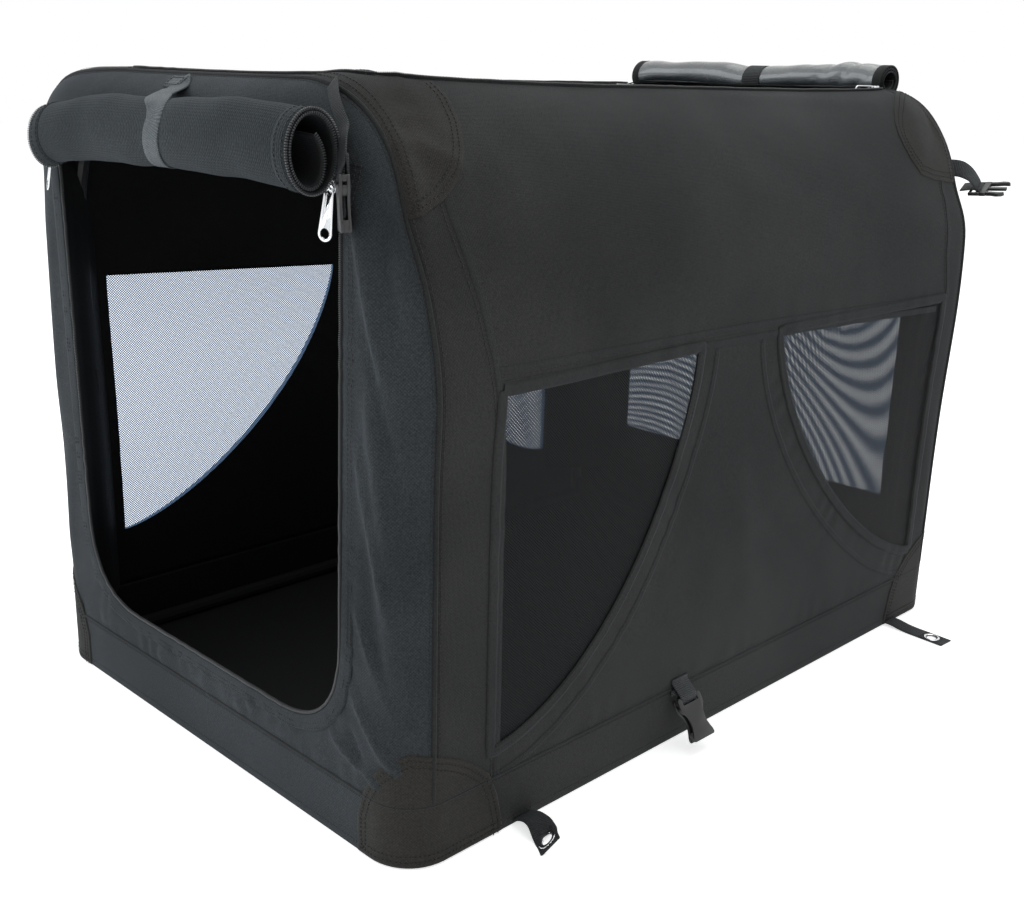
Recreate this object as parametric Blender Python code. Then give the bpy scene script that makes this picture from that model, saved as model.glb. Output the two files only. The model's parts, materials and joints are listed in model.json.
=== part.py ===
"""Soft-sided folding dog crate, built as its real pieces.

A steel tube frame carries a cloth cover. Four legs hinge on a base loop, fold at a knee half
way up, and let the roof sink straight down. The cover has a rolled-up door at the front, a
rolled-up roof flap at the rear, mesh windows, zips, straps, buckles and ground tabs.

Metres, +Z up. The door faces -Y and the near long side faces +X. Distances called u run from
the door end to the rear. The origin is under the middle of the whole object's box.
"""
import math

import bmesh
import bpy
from mathutils import Matrix, Vector

# Overall size of the cloth body
CRATE_WIDTH = 0.620
CRATE_LENGTH = 0.914
CRATE_HEIGHT = 0.660
ROOF_RADIUS = 0.170
PLAN_RADIUS = 0.045
CLOTH = 0.0020
GAP = 0.0003

# Panels of the cover
BAND_HEIGHT = 0.060
END_SEAM = 0.033
SLEEVE_WIDE = 0.105
SLEEVE_NARROW = 0.077
SLEEVE_TOP = 0.072
SLEEVE_TAPER_TOP = 0.580
WINDOW_TOP = 0.414
MESH = 0.0010
LEFT_WINDOW_WIDTH = 0.261
LEFT_WINDOW_HEIGHT = 0.321
LEFT_WINDOW_POWER = 1.72
RIGHT_WINDOW_WIDTH = 0.326
RIGHT_WINDOW_HEIGHT = 0.314
RIGHT_WINDOW_POWER = 1.45
REAR_WINDOW_SIDE_STRIP = 0.085
REAR_WINDOW_WIDTH = CRATE_WIDTH - 2 * REAR_WINDOW_SIDE_STRIP
REAR_WINDOW_LOW = 0.131
REAR_WINDOW_HIGH = 0.480
DOOR_LOW = 0.100
DOOR_HIGH = 0.598
DOOR_SIDE_STRIP_LOW = 0.088
DOOR_SIDE_STRIP_HIGH = 0.076
DOOR_WIDTH_LOW = CRATE_WIDTH - 2 * DOOR_SIDE_STRIP_LOW
DOOR_WIDTH_HIGH = CRATE_WIDTH - 2 * DOOR_SIDE_STRIP_HIGH
DOOR_RADIUS = 0.095
DOOR_TOP_RADIUS = 0.012
ROOF_SIDE_STRIP = 0.110
ROOF_OPENING_WIDTH = CRATE_WIDTH - 2 * ROOF_SIDE_STRIP
ROOF_OPENING_FRONT = 0.052
ROOF_OPENING_REAR = 0.045
ROOF_OPENING_RADIUS = 0.050
FLOOR_THICKNESS = 0.004
PLAN_STEPS = 5

# Steel frame
TUBE_DIAMETER = 0.016
TUBE_WALL = 0.0012
RAIL_DIAMETER = 0.014
FRAME_INSET = 0.020
HOOP_SETBACK = 0.044
HOOP_BEND = 0.150
BASE_PIVOT_HEIGHT = 0.034
KNEE_OFFSET = 0.0135
PLATE = 0.0020
PIN_DIAMETER = 0.006
RIVET_DIAMETER = 0.005
KNEE_PLATE_LENGTH = 0.034
RIVET_DROP = 0.024
EYE_RADIUS = 0.005
TANG_THICKNESS = 0.003
TANG_LENGTH = 0.025
LUG_LENGTH = 0.014
LUG_ROUND = 0.006
LEG_END = 0.010
CLAMP_WIDTH = 0.024
CLAMP_WALL = 0.0020
CLAMP_FROM_BEND = 0.018
SOCKET_LENGTH = 0.030
SOCKET_FLOOR = 0.0115
RAIL_BESIDE_OPENING = 0.005
RAIL_X = ROOF_OPENING_WIDTH / 2 + RAIL_BESIDE_OPENING
RAIL_DROP = 0.014
RAIL_JOG_START = 0.047
RAIL_JOG_LENGTH = 0.080
RAIL_BEND = 0.030
SKIN_CLEARANCE = 0.0015

# Rolled door and rolled roof flap
DOOR_ROLL_PAST_DOOR = 0.0035
DOOR_ROLL_LENGTH = DOOR_WIDTH_HIGH + 2 * DOOR_ROLL_PAST_DOOR
DOOR_ROLL_DEPTH = 0.050
DOOR_ROLL_HEIGHT = 0.066
DOOR_ROLL_Z = 0.605
DOOR_ROLL_TURNS = 2.25
DOOR_ROLL_PITCH = 0.0052
DOOR_CLOTH = 0.0022
ROOF_ROLL_PAST_OPENING = 0.015
ROOF_ROLL_LENGTH = ROOF_OPENING_WIDTH + 2 * ROOF_ROLL_PAST_OPENING
ROOF_ROLL_DEPTH = 0.046
ROOF_ROLL_HEIGHT = 0.042
ROOF_ROLL_SETBACK = 0.026
ROOF_ROLL_TURNS = 3.25
ROOF_ROLL_PITCH = 0.0034
ROOF_CLOTH = 0.0016
ROLL_STEPS_PER_TURN = 24

# Zips, sliders and pullers
ZIP_WIDTH = 0.0080
ZIP_THICKNESS = 0.0020
ROOF_ZIP_RISE = 0.0060
SLIDER_LENGTH = 0.0120
SLIDER_WIDTH = 0.0090
SLIDER_BODY = 0.0030
BRIDGE_WIDTH = 0.0028
BRIDGE_RISE = 0.0034
BRIDGE_WALL = 0.0013
PULLER_LENGTH = 0.0390
PULLER_WIDTH = 0.0100
PULLER_NECK = 0.0080
PULLER_THICKNESS = 0.0014
PULLER_SLOT_WIDTH = 0.0044
PULLER_SLOT_LENGTH = 0.0075
PULLER_BAR = 0.0012
PULLER_HOLE = 0.0055
DOOR_SLIDER_Z = 0.578
ROOF_SLIDER_SETBACK = 0.072
ROOF_ZIP_SETBACK = 0.067

# Webbing, buckles and ground tabs
STRAP_WIDTH = 0.020
STRAP_THICKNESS = 0.0015
STRAP_SLANT = 0.045
ROOF_STRAP_WIDTH = 0.028
ROOF_STRAP_X = 0.020
TAB_WIDTH = 0.025
TAB_THICKNESS = 0.0016
TAB_REACH = 0.082
TAB_SLANT = 0.016
TAB_FRONT_U = 0.140
TAB_REAR_U = 0.813
TAB_HINGE_Z = 0.0035
GROMMET_BORE = 0.0110
GROMMET_RIM = 0.0030
GROMMET_FROM_END = 0.020
BUCKLE_WIDTH = 0.036
BUCKLE_WAIST = 0.028
BUCKLE_LENGTH = 0.046
BUCKLE_THICKNESS = 0.0100
BUCKLE_BAR = 0.0040
BUCKLE_WEB_SLOT = 0.0060
BUCKLE_SOCKET_WIDTH = 0.0220
BUCKLE_SOCKET_HEIGHT = 0.0060
BUCKLE_SOCKET_DEPTH = 0.0200
WEBBING_WIDTH = 0.0240
SIDE_BUCKLE_U = 0.386
SIDE_BUCKLE_BAR_Z = 0.0560
SIDE_BUCKLE_TILT = 20.0
FRONT_STRAP_FROM_EDGE = 0.107
FRONT_STRAP_X = CRATE_WIDTH / 2 - FRONT_STRAP_FROM_EDGE
FRONT_STRAP_U = 0.030
FRONT_BUCKLE_FROM_EDGE = 0.046
FRONT_BUCKLE_X = CRATE_WIDTH / 2 - FRONT_BUCKLE_FROM_EDGE
FRONT_BUCKLE_U = -0.0090
FRONT_BUCKLE_BAR_Z = 0.5900
REAR_STRAP_FROM_EDGE = 0.058
REAR_STRAP_X = CRATE_WIDTH / 2 - REAR_STRAP_FROM_EDGE
REAR_STRAP_Z = 0.588
REAR_BUCKLE_DIP = 0.030
REAR_STRAP_RUN = 0.036
PRONG_LENGTH = 0.022

TUBE_RADIUS = TUBE_DIAMETER / 2
RAIL_RADIUS = RAIL_DIAMETER / 2
CLAMP_RADIUS = TUBE_RADIUS + GAP + CLAMP_WALL
FRONT_REACH = 2 * GAP + DOOR_ROLL_DEPTH + STRAP_THICKNESS + 0.0003
REAR_REACH = REAR_STRAP_RUN + BUCKLE_BAR + PRONG_LENGTH
MID_U = (CRATE_LENGTH + REAR_REACH - FRONT_REACH) / 2
LEG_X = CRATE_WIDTH / 2 - FRAME_INSET
CROSSBAR_Z = CRATE_HEIGHT - CLOTH - SKIN_CLEARANCE - CLAMP_RADIUS
KNEE_Z = (BASE_PIVOT_HEIGHT + CROSSBAR_Z) / 2
BASE_TUBE_Z = FLOOR_THICKNESS + GAP + TUBE_RADIUS
ROOF_CENTRE_X = CRATE_WIDTH / 2 - ROOF_RADIUS
CLAMP_X = ROOF_CENTRE_X - CLAMP_FROM_BEND
ROOF_CENTRE_Z = CRATE_HEIGHT - ROOF_RADIUS

for stale in list(bpy.data.objects):
    bpy.data.objects.remove(stale, do_unlink=True)


def make_material(name, colour, roughness, metallic=0.0):
    """Principled material with one colour."""
    material = bpy.data.materials.new(name)
    material.use_nodes = True
    shader = material.node_tree.nodes["Principled BSDF"]
    shader.inputs["Base Color"].default_value = (*colour, 1.0)
    shader.inputs["Roughness"].default_value = roughness
    shader.inputs["Metallic"].default_value = metallic
    return material


BLACK_CLOTH = (0.030, 0.033, 0.034)
DARK_CLOTH = (0.022, 0.024, 0.025)
MESH_CLOTH = (0.018, 0.019, 0.020)
COATED_CLOTH = (0.035, 0.042, 0.048)
WEBBING = (0.055, 0.060, 0.064)
STEEL = (0.080, 0.082, 0.085)
CHROME = (0.780, 0.780, 0.790)
PLASTIC = (0.028, 0.028, 0.028)


def at(x, u, z):
    """Point from side offset x, distance u from the door end, and height z."""
    return Vector((x, u - MID_U, z))


def finish(name, bm, colour, roughness, metallic=0.0, origin=None, smooth=None):
    """Turn a bmesh into the named object, its origin where it turns or at the world origin."""
    mesh = bpy.data.meshes.new(name)
    bmesh.ops.recalc_face_normals(bm, faces=bm.faces)
    if origin is not None:
        bmesh.ops.translate(bm, vec=-origin, verts=bm.verts)
    bm.to_mesh(mesh)
    bm.free()
    mesh.materials.append(make_material(name + "_finish", colour, roughness, metallic))
    thing = bpy.data.objects.new(name, mesh)
    bpy.context.scene.collection.objects.link(thing)
    if origin is not None:
        thing.location = origin
    if smooth is not None:
        mesh.shade_smooth()
        mesh.set_sharp_from_angle(angle=math.radians(smooth))
    return thing


def loft(rings, closed=False):
    """Quads through rings of equal length, with flat caps unless the run is closed."""
    bm = bmesh.new()
    rows = [[bm.verts.new(point) for point in ring] for ring in rings]
    count = len(rows[0])
    pairs = list(zip(rows, rows[1:]))
    if closed:
        pairs.append((rows[-1], rows[0]))
    for low, high in pairs:
        for i in range(count):
            j = (i + 1) % count
            bm.faces.new((low[i], low[j], high[j], high[i]))
    if not closed:
        bm.faces.new(rows[0][::-1])
        bm.faces.new(rows[-1])
    return bm


def prism(outline, place, low, high):
    """Closed solid: a flat outline of pairs, pushed along a line by the place function."""
    return loft([[place(a, b, c) for a, b in outline] for c in (low, high)])


def box(low, high):
    """Box between two corners."""
    bm = bmesh.new()
    size = Vector(high) - Vector(low)
    middle = (Vector(high) + Vector(low)) / 2
    bmesh.ops.create_cube(bm, size=1.0, matrix=Matrix.Translation(middle) @ Matrix.Diagonal((*size, 1)))
    return bm


def rod(start, end, radius, sides=16):
    """Round bar between two points."""
    bm = bmesh.new()
    run = Vector(end) - Vector(start)
    turn = run.to_track_quat("Z", "Y").to_matrix().to_4x4()
    place = Matrix.Translation((Vector(start) + Vector(end)) / 2) @ turn
    bmesh.ops.create_cone(bm, cap_ends=True, segments=sides, radius1=radius, radius2=radius,
                          depth=run.length, matrix=place)
    return bm


def round_path(corners, radius, steps=6):
    """Points along a line of corners, each inner corner rounded to the radius."""
    points = [Vector(corners[0])]
    for before, corner, after in zip(corners, corners[1:], corners[2:]):
        corner = Vector(corner)
        into = (corner - Vector(before)).normalized()
        away = (Vector(after) - corner).normalized()
        angle = into.angle(away)
        start = corner - into * radius * math.tan(angle / 2)
        axis = into.cross(away).normalized()
        centre = start + axis.cross(into) * radius
        for step in range(steps + 1):
            turn = Matrix.Rotation(angle * step / steps, 3, axis)
            points.append(centre + turn @ (start - centre))
    points.append(Vector(corners[-1]))
    return points


def tangents(path):
    """Direction of travel at each point of an open path."""
    last = len(path) - 1
    return [(path[min(i + 1, last)] - path[max(i - 1, 0)]).normalized() for i in range(last + 1)]


def pipe(path, outer, inner, sides=10):
    """Hollow tube with open ends along a path."""
    bm = bmesh.new()
    normal = tangents(path)[0].orthogonal().normalized()
    rows = []
    for point, along in zip(path, tangents(path)):
        normal = (normal - along * normal.dot(along)).normalized()
        side = along.cross(normal)
        for_angle = [math.tau * k / sides for k in range(sides)]
        spokes = [normal * math.cos(a) + side * math.sin(a) for a in for_angle]
        rows.append(([bm.verts.new(point + s * outer) for s in spokes],
                     [bm.verts.new(point + s * inner) for s in spokes]))
    for (out_a, in_a), (out_b, in_b) in zip(rows, rows[1:]):
        for k in range(sides):
            j = (k + 1) % sides
            bm.faces.new((out_a[k], out_a[j], out_b[j], out_b[k]))
            bm.faces.new((in_a[j], in_a[k], in_b[k], in_b[j]))
    for outs, ins in (rows[0], rows[-1]):
        for k in range(sides):
            j = (k + 1) % sides
            bm.faces.new((outs[k], outs[j], ins[j], ins[k]))
    return bm


def ribbon(path, across, width, thickness):
    """Flat webbing along a path; across is one direction or one for each point."""
    rings = []
    for i, (point, along) in enumerate(zip(path, tangents(path))):
        wide = (across[i] if isinstance(across, list) else across).normalized()
        wide = (wide - along * wide.dot(along)).normalized()
        thick = along.cross(wide).normalized()
        w = wide * width / 2
        t = thick * thickness / 2
        rings.append([point + w + t, point - w + t, point - w - t, point + w - t])
    return loft(rings)


def curve_path(points, steps):
    """Smooth curve through a few points."""
    ends = [points[0] * 2 - points[1]] + points + [points[-1] * 2 - points[-2]]
    path = []
    for a, b, c, d in zip(ends, ends[1:], ends[2:], ends[3:]):
        for step in range(steps):
            t = step / steps
            path.append(0.5 * ((2 * b) + (c - a) * t + (2 * a - 5 * b + 4 * c - d) * t * t
                               + (3 * b - a - 3 * c + d) * t ** 3))
    path.append(points[-1])
    return path


def combine(base, tool, operation):
    """Boolean of two bmeshes; returns the result as a new bmesh."""
    objects = []
    for bm in (base, tool):
        bmesh.ops.recalc_face_normals(bm, faces=bm.faces)
        mesh = bpy.data.meshes.new("working")
        bm.to_mesh(mesh)
        bm.free()
        thing = bpy.data.objects.new("working", mesh)
        bpy.context.scene.collection.objects.link(thing)
        objects.append(thing)
    body, cutter = objects
    modifier = body.modifiers.new("cut", "BOOLEAN")
    modifier.operation = operation
    modifier.solver = "EXACT"
    modifier.object = cutter
    depsgraph = bpy.context.evaluated_depsgraph_get()
    result = bmesh.new()
    result.from_mesh(body.evaluated_get(depsgraph).to_mesh())
    for thing in objects:
        mesh = thing.data
        bpy.data.objects.remove(thing, do_unlink=True)
        bpy.data.meshes.remove(mesh)
    return result


def union(first, *others):
    """One solid from several that cross."""
    for other in others:
        first = combine(first, other, "UNION")
    return first


def cut(first, *others):
    """The first solid with the others taken away."""
    for other in others:
        first = combine(first, other, "DIFFERENCE")
    return first


def outline_at(inset, low):
    """Inverted U of the cover, shrunk by inset, from the near foot over the roof to the far foot."""
    radius = ROOF_RADIUS - inset
    points = [(CRATE_WIDTH / 2 - inset, low)]
    steps = 10
    for sign, first in ((1, 0.0), (-1, 90.0)):
        for step in range(steps + 1):
            angle = math.radians(first + 90.0 * step / steps)
            points.append((sign * ROOF_CENTRE_X + radius * math.cos(angle),
                           ROOF_CENTRE_Z + radius * math.sin(angle)))
    points.append((-CRATE_WIDTH / 2 + inset, low))
    return points


def cover_block(inset, low):
    """Solid of the cover's outer form, shrunk by inset all round, with rounded ends."""
    fillet = PLAN_RADIUS - inset
    ends = []
    for step in range(PLAN_STEPS + 1):
        angle = math.radians(90.0 * step / PLAN_STEPS)
        ends.append((inset + fillet * (1 - math.cos(angle)), fillet * (1 - math.sin(angle))))
    stations = ends + [(CRATE_LENGTH - u, draw) for u, draw in reversed(ends)]
    return loft([[at(x, u, z) for x, z in outline_at(inset + draw, low)] for u, draw in stations])


def cover_shell():
    """The cover as one cloth-thick skin, open underneath."""
    return cut(cover_block(0.0, 0.0), cover_block(CLOTH, -0.01))


def surface_u(x, z):
    """Distance u of the door end's outer face at a place on it."""
    over_x = max(abs(x) - ROOF_CENTRE_X, 0.0)
    over_z = max(z - ROOF_CENTRE_Z, 0.0)
    if z > ROOF_CENTRE_Z:
        inset = ROOF_RADIUS - math.hypot(over_x, over_z)
    else:
        inset = CRATE_WIDTH / 2 - abs(x)
    if inset >= PLAN_RADIUS:
        return 0.0
    sine = (PLAN_RADIUS - max(inset, 0.0)) / PLAN_RADIUS
    return PLAN_RADIUS * (1 - math.sqrt(1 - sine * sine))


def end_draw(u):
    """How far the cover has drawn in at distance u from one of its ends."""
    if u >= PLAN_RADIUS:
        return 0.0
    return PLAN_RADIUS - math.sqrt(PLAN_RADIUS ** 2 - (PLAN_RADIUS - u) ** 2)


def roof_z(x, inset=0.0):
    """Height of the roof's outer face at side offset x."""
    over = max(abs(x) - ROOF_CENTRE_X, 0.0)
    return ROOF_CENTRE_Z + math.sqrt((ROOF_RADIUS - inset) ** 2 - over ** 2)


def window_outline(start, direction, width, height, power, overlap=0.0, inset=0.0):
    """Window in u and z: square at the top near a sleeve, its free side a sweeping curve."""
    steps = 14
    top = WINDOW_TOP - inset
    points = [(start - direction * (overlap - inset), top)]
    for step in range(steps + 1):
        angle = math.radians(90.0 * step / steps)
        reach = (width - inset) * math.cos(angle) ** (2 / power)
        drop = (height - 2 * inset) * math.sin(angle) ** (2 / power)
        if step == steps:
            reach = 0.0
            drop = height - 2 * inset
        points.append((start + direction * max(reach, inset), top - drop))
    if overlap > 0.0:
        points.append((start - direction * overlap, WINDOW_TOP - height))
    return points


SIDES = (("right", 1), ("left", -1))
LEFT_WINDOW = (LEFT_WINDOW_WIDTH, LEFT_WINDOW_HEIGHT, LEFT_WINDOW_POWER)
RIGHT_WINDOW = (RIGHT_WINDOW_WIDTH, RIGHT_WINDOW_HEIGHT, RIGHT_WINDOW_POWER)


def side_windows(sign):
    """Front and rear window of one side: name, start u, direction and shape."""
    front_shape, rear_shape = (LEFT_WINDOW, RIGHT_WINDOW) if sign > 0 else (RIGHT_WINDOW, LEFT_WINDOW)
    front_sleeve, rear_sleeve = sleeve_widths(sign)
    return (("front", front_sleeve, 1, front_shape),
            ("rear", CRATE_LENGTH - rear_sleeve, -1, rear_shape))


def sleeve_widths(sign):
    """How far the front and rear sleeve reach along one side from their ends."""
    if sign > 0:
        return SLEEVE_WIDE, SLEEVE_NARROW
    return SLEEVE_NARROW, SLEEVE_WIDE


def rounded_rectangle(half_a, low_b, high_b, radius, steps=6):
    """Outline of a rectangle with round corners, as pairs."""
    points = []
    centres = ((half_a - radius, high_b - radius, 0), (-half_a + radius, high_b - radius, 90),
               (-half_a + radius, low_b + radius, 180), (half_a - radius, low_b + radius, 270))
    for a, b, first in centres:
        for step in range(steps + 1):
            angle = math.radians(first + 90 * step / steps)
            points.append((a + radius * math.cos(angle), b + radius * math.sin(angle)))
    return points


def roof_line(inset, stop):
    """Line in x and u round the roof opening, from one side's stop by the front to the other's."""
    side = ROOF_OPENING_WIDTH / 2 - inset
    front = ROOF_OPENING_FRONT + inset
    corners = [(side, stop, 0), (side, front, 0), (-side, front, 0), (-side, stop, 0)]
    return [(p.x, p.y) for p in round_path(corners, ROOF_OPENING_RADIUS - inset, 8)]


def door_side_x(z):
    """Half width of the door opening at a height."""
    share = (z - DOOR_LOW) / (DOOR_HIGH - DOOR_LOW)
    return (DOOR_WIDTH_LOW + (DOOR_WIDTH_HIGH - DOOR_WIDTH_LOW) * share) / 2


def door_path(spread, radius, top):
    """One line in x and z down the near side of the door, along its sill and up the far side."""
    foot = DOOR_LOW - spread
    corners = [(door_side_x(top) + spread, 0, top), (door_side_x(foot) + spread, 0, foot),
               (-door_side_x(foot) - spread, 0, foot), (-door_side_x(top) - spread, 0, top)]
    return [(p.x, p.z) for p in round_path(corners, radius, 10)]


def sleeve_cutter(front, low_width_right, low_width_left, side_gap):
    """Solid that holds a sleeve: two upright profiles, one for each side, joined over the roof."""
    far = 0.5
    rings = []
    for x, width in ((far, low_width_right), (0.13, low_width_right),
                     (-0.13, low_width_left), (-far, low_width_left)):
        profile = [(END_SEAM + side_gap, BAND_HEIGHT + side_gap), (width - side_gap, BAND_HEIGHT + side_gap),
                   (width - side_gap, WINDOW_TOP), (SLEEVE_TOP - side_gap, SLEEVE_TAPER_TOP),
                   (SLEEVE_TOP - side_gap, CRATE_HEIGHT + 0.1), (END_SEAM + side_gap, CRATE_HEIGHT + 0.1)]
        rings.append([at(x, u if front else CRATE_LENGTH - u, z) for u, z in profile])
    return loft(rings)


def make_cover():
    """Lower band, end walls, frame sleeves and side walls, all cut from one skin."""
    half = GAP / 2
    wide = CRATE_WIDTH
    high = CRATE_HEIGHT + 0.1
    far_u = CRATE_LENGTH + 0.1
    opening = roof_line(0.0, CRATE_LENGTH - ROOF_OPENING_REAR)

    def keep(name, regions, cutters, colour=BLACK_CLOTH):
        piece = combine(cover_shell(), regions, "INTERSECT")
        return finish(name, cut(piece, *cutters), colour, 0.85, smooth=35)

    keep("lower_band", box(at(-wide, -0.1, -0.01), at(wide, far_u, BAND_HEIGHT - half)), [])
    door_outline = door_path(0.0, DOOR_RADIUS, DOOR_HIGH)
    keep("front_wall", box(at(-wide, -0.1, BAND_HEIGHT + half), at(wide, END_SEAM - half, high)),
         [prism(door_outline, lambda a, b, c: at(a, c, b), -0.05, 0.05)])
    rear_edge = REAR_WINDOW_WIDTH / 2
    keep("rear_wall",
         box(at(-wide, CRATE_LENGTH - END_SEAM + half, BAND_HEIGHT + half), at(wide, far_u, high)),
         [box(at(-rear_edge, CRATE_LENGTH - 0.02, REAR_WINDOW_LOW),
              at(rear_edge, CRATE_LENGTH + 0.02, REAR_WINDOW_HIGH))])
    roof_cut = lambda: prism(opening, at, CRATE_HEIGHT / 2 + 0.1, high)
    keep("front_sleeve", sleeve_cutter(True, SLEEVE_WIDE, SLEEVE_NARROW, half), [roof_cut()])
    keep("rear_sleeve", sleeve_cutter(False, SLEEVE_NARROW, SLEEVE_WIDE, half), [roof_cut()])
    for side, sign in SIDES:
        front_width, rear_width = sleeve_widths(sign)
        profile = [(front_width + half, BAND_HEIGHT + half), (front_width + half, WINDOW_TOP),
                   (SLEEVE_TOP + half, SLEEVE_TAPER_TOP), (SLEEVE_TOP + half, high),
                   (CRATE_LENGTH - SLEEVE_TOP - half, high),
                   (CRATE_LENGTH - SLEEVE_TOP - half, SLEEVE_TAPER_TOP),
                   (CRATE_LENGTH - rear_width - half, WINDOW_TOP),
                   (CRATE_LENGTH - rear_width - half, BAND_HEIGHT + half)]
        region = prism(profile, lambda a, b, c: at(c, a, b), sign * 0.05, sign * wide)
        cutters = [roof_cut()]
        for end, start, direction, (width, height, power) in side_windows(sign):
            outline = window_outline(start, direction, width, height, power, overlap=0.01)
            cutters.append(prism(outline, lambda a, b, c: at(c, a, b), sign * 0.2, sign * wide))
        keep("side_wall_" + side, region, cutters)


def make_windows():
    """Mesh of the four side windows and of the rear window, flat inside the cloth's thickness."""
    outer = CRATE_WIDTH / 2 - (CLOTH - MESH) / 2
    for side, sign in SIDES:
        for end, start, direction, (width, height, power) in side_windows(sign):
            outline = window_outline(start, direction, width, height, power, inset=GAP)
            bm = prism(outline, lambda a, b, c: at(c, a, b), sign * (outer - MESH), sign * outer)
            finish("%s_window_%s" % (end, side), bm, MESH_CLOTH, 0.7)
    edge = REAR_WINDOW_WIDTH / 2 - GAP
    face = CRATE_LENGTH - (CLOTH - MESH) / 2
    bm = box(at(-edge, face - MESH, REAR_WINDOW_LOW + GAP), at(edge, face, REAR_WINDOW_HIGH - GAP))
    finish("rear_window", bm, MESH_CLOTH, 0.7)


def make_floor():
    """Stiff floor panel that lies inside the lower band and carries the base loop."""
    edge = CLOTH + GAP
    radius = PLAN_RADIUS - edge
    outline = rounded_rectangle(CRATE_WIDTH / 2 - edge, edge, CRATE_LENGTH - edge, radius, PLAN_STEPS)
    finish("floor_panel", prism(outline, at, 0.0, FLOOR_THICKNESS), DARK_CLOTH, 0.6)


def make_base_frame():
    """Base loop of tube with a butt joint at the rear, and a hinge lug under each leg."""
    inset = FRAME_INSET
    rear = CRATE_LENGTH - inset
    x = LEG_X
    z = BASE_TUBE_Z
    corners = [at(GAP, rear, z), at(x, rear, z), at(x, inset, z), at(-x, inset, z), at(-x, rear, z),
               at(-GAP, rear, z)]
    bend = PLAN_RADIUS - inset
    loop = pipe(round_path(corners, bend, 5), TUBE_RADIUS, TUBE_RADIUS - TUBE_WALL)
    inner = TUBE_RADIUS + GAP
    outer = inner + PLATE
    seat = z + TUBE_RADIUS
    for sign in (1, -1):
        for u in (HOOP_SETBACK, CRATE_LENGTH - HOOP_SETBACK):
            low = seat - 0.0018
            saddle = box(at(sign * x - outer + 0.0002, u - LUG_LENGTH / 2, low),
                         at(sign * x + outer - 0.0002, u + LUG_LENGTH / 2, seat + 0.0004))
            pieces = [saddle]
            for face in (-outer, inner):
                start = sign * x + face
                pieces.append(box(at(start, u - LUG_ROUND, low + 0.0002),
                                  at(start + PLATE, u + LUG_ROUND, BASE_PIVOT_HEIGHT)))
                pieces.append(rod(at(start + 0.0001, u, BASE_PIVOT_HEIGHT),
                                  at(start + PLATE - 0.0001, u, BASE_PIVOT_HEIGHT), LUG_ROUND, 20))
            pieces.append(rod(at(sign * x - outer + 0.0003, u, BASE_PIVOT_HEIGHT),
                              at(sign * x + outer - 0.0003, u, BASE_PIVOT_HEIGHT), PIN_DIAMETER / 2, 12))
            loop = union(loop, *pieces)
    finish("base_frame", loop, STEEL, 0.45, 0.9, smooth=35)


def make_legs(front):
    """Lower legs and knee brackets of one end."""
    end = "front" if front else "rear"
    u = HOOP_SETBACK if front else CRATE_LENGTH - HOOP_SETBACK
    out = -1 if front else 1
    inner = TUBE_RADIUS + GAP
    outer = inner + PLATE
    pin_u = u + out * KNEE_OFFSET
    for side, sign in SIDES:
        x = sign * LEG_X
        foot = at(x, u, BASE_PIVOT_HEIGHT - LEG_END)
        top = at(x, u, KNEE_Z - GAP)
        leg = pipe([foot, top], TUBE_RADIUS, TUBE_RADIUS - TUBE_WALL)
        span = TUBE_RADIUS + 0.002
        hinge_bore = rod(at(x - span, u, BASE_PIVOT_HEIGHT), at(x + span, u, BASE_PIVOT_HEIGHT),
                         PIN_DIAMETER / 2 + GAP, 20)
        rivet_z = KNEE_Z - RIVET_DROP
        rivet_bore = rod(at(x - span, u, rivet_z), at(x + span, u, rivet_z), RIVET_DIAMETER / 2 + GAP, 20)
        leg = cut(leg, hinge_bore, rivet_bore)
        finish("lower_leg_%s_%s" % (end, side), leg, STEEL, 0.45, 0.9,
               origin=at(x, u, BASE_PIVOT_HEIGHT), smooth=35)
        bracket = rod(at(x - outer + 0.0001, pin_u, KNEE_Z), at(x + outer - 0.0001, pin_u, KNEE_Z),
                      PIN_DIAMETER / 2, 12)
        rivet = rod(at(x - outer + 0.0001, u, rivet_z), at(x + outer - 0.0001, u, rivet_z),
                    RIVET_DIAMETER / 2, 12)
        plates = []
        for face in (-outer, inner):
            outline = knee_plate(u, out)
            plates.append(prism(outline, lambda a, b, c: at(c, a, b), x + face, x + face + PLATE))
        finish("knee_bracket_%s_%s" % (end, side), union(bracket, *plates, rivet), STEEL, 0.4, 0.9,
               origin=at(x, pin_u, KNEE_Z), smooth=35)


def knee_plate(u, out):
    """Side plate of a knee in u and z: round about the pin, straight down along the leg."""
    pin_u = u + out * KNEE_OFFSET
    low = KNEE_Z - KNEE_PLATE_LENGTH
    points = []
    steps = 8
    for step in range(steps + 1):
        angle = math.radians(180 * step / steps)
        points.append((pin_u + EYE_RADIUS * math.cos(angle), KNEE_Z + EYE_RADIUS * math.sin(angle)))
    if out > 0:
        points = points[::-1]
    # the plate leaves the eye on its outer side, narrows onto the leg and comes back up its face
    outer_u = pin_u + out * EYE_RADIUS
    inner_u = u - out * (TUBE_RADIUS - 0.002)
    points += [(outer_u, KNEE_Z - EYE_RADIUS), (u + out * (TUBE_RADIUS - 0.002), low + 0.006),
               (u + out * (TUBE_RADIUS - 0.003), low), (inner_u + out * 0.001, low), (inner_u, low + 0.003),
               (inner_u, KNEE_Z - 0.004)]
    return points


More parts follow.
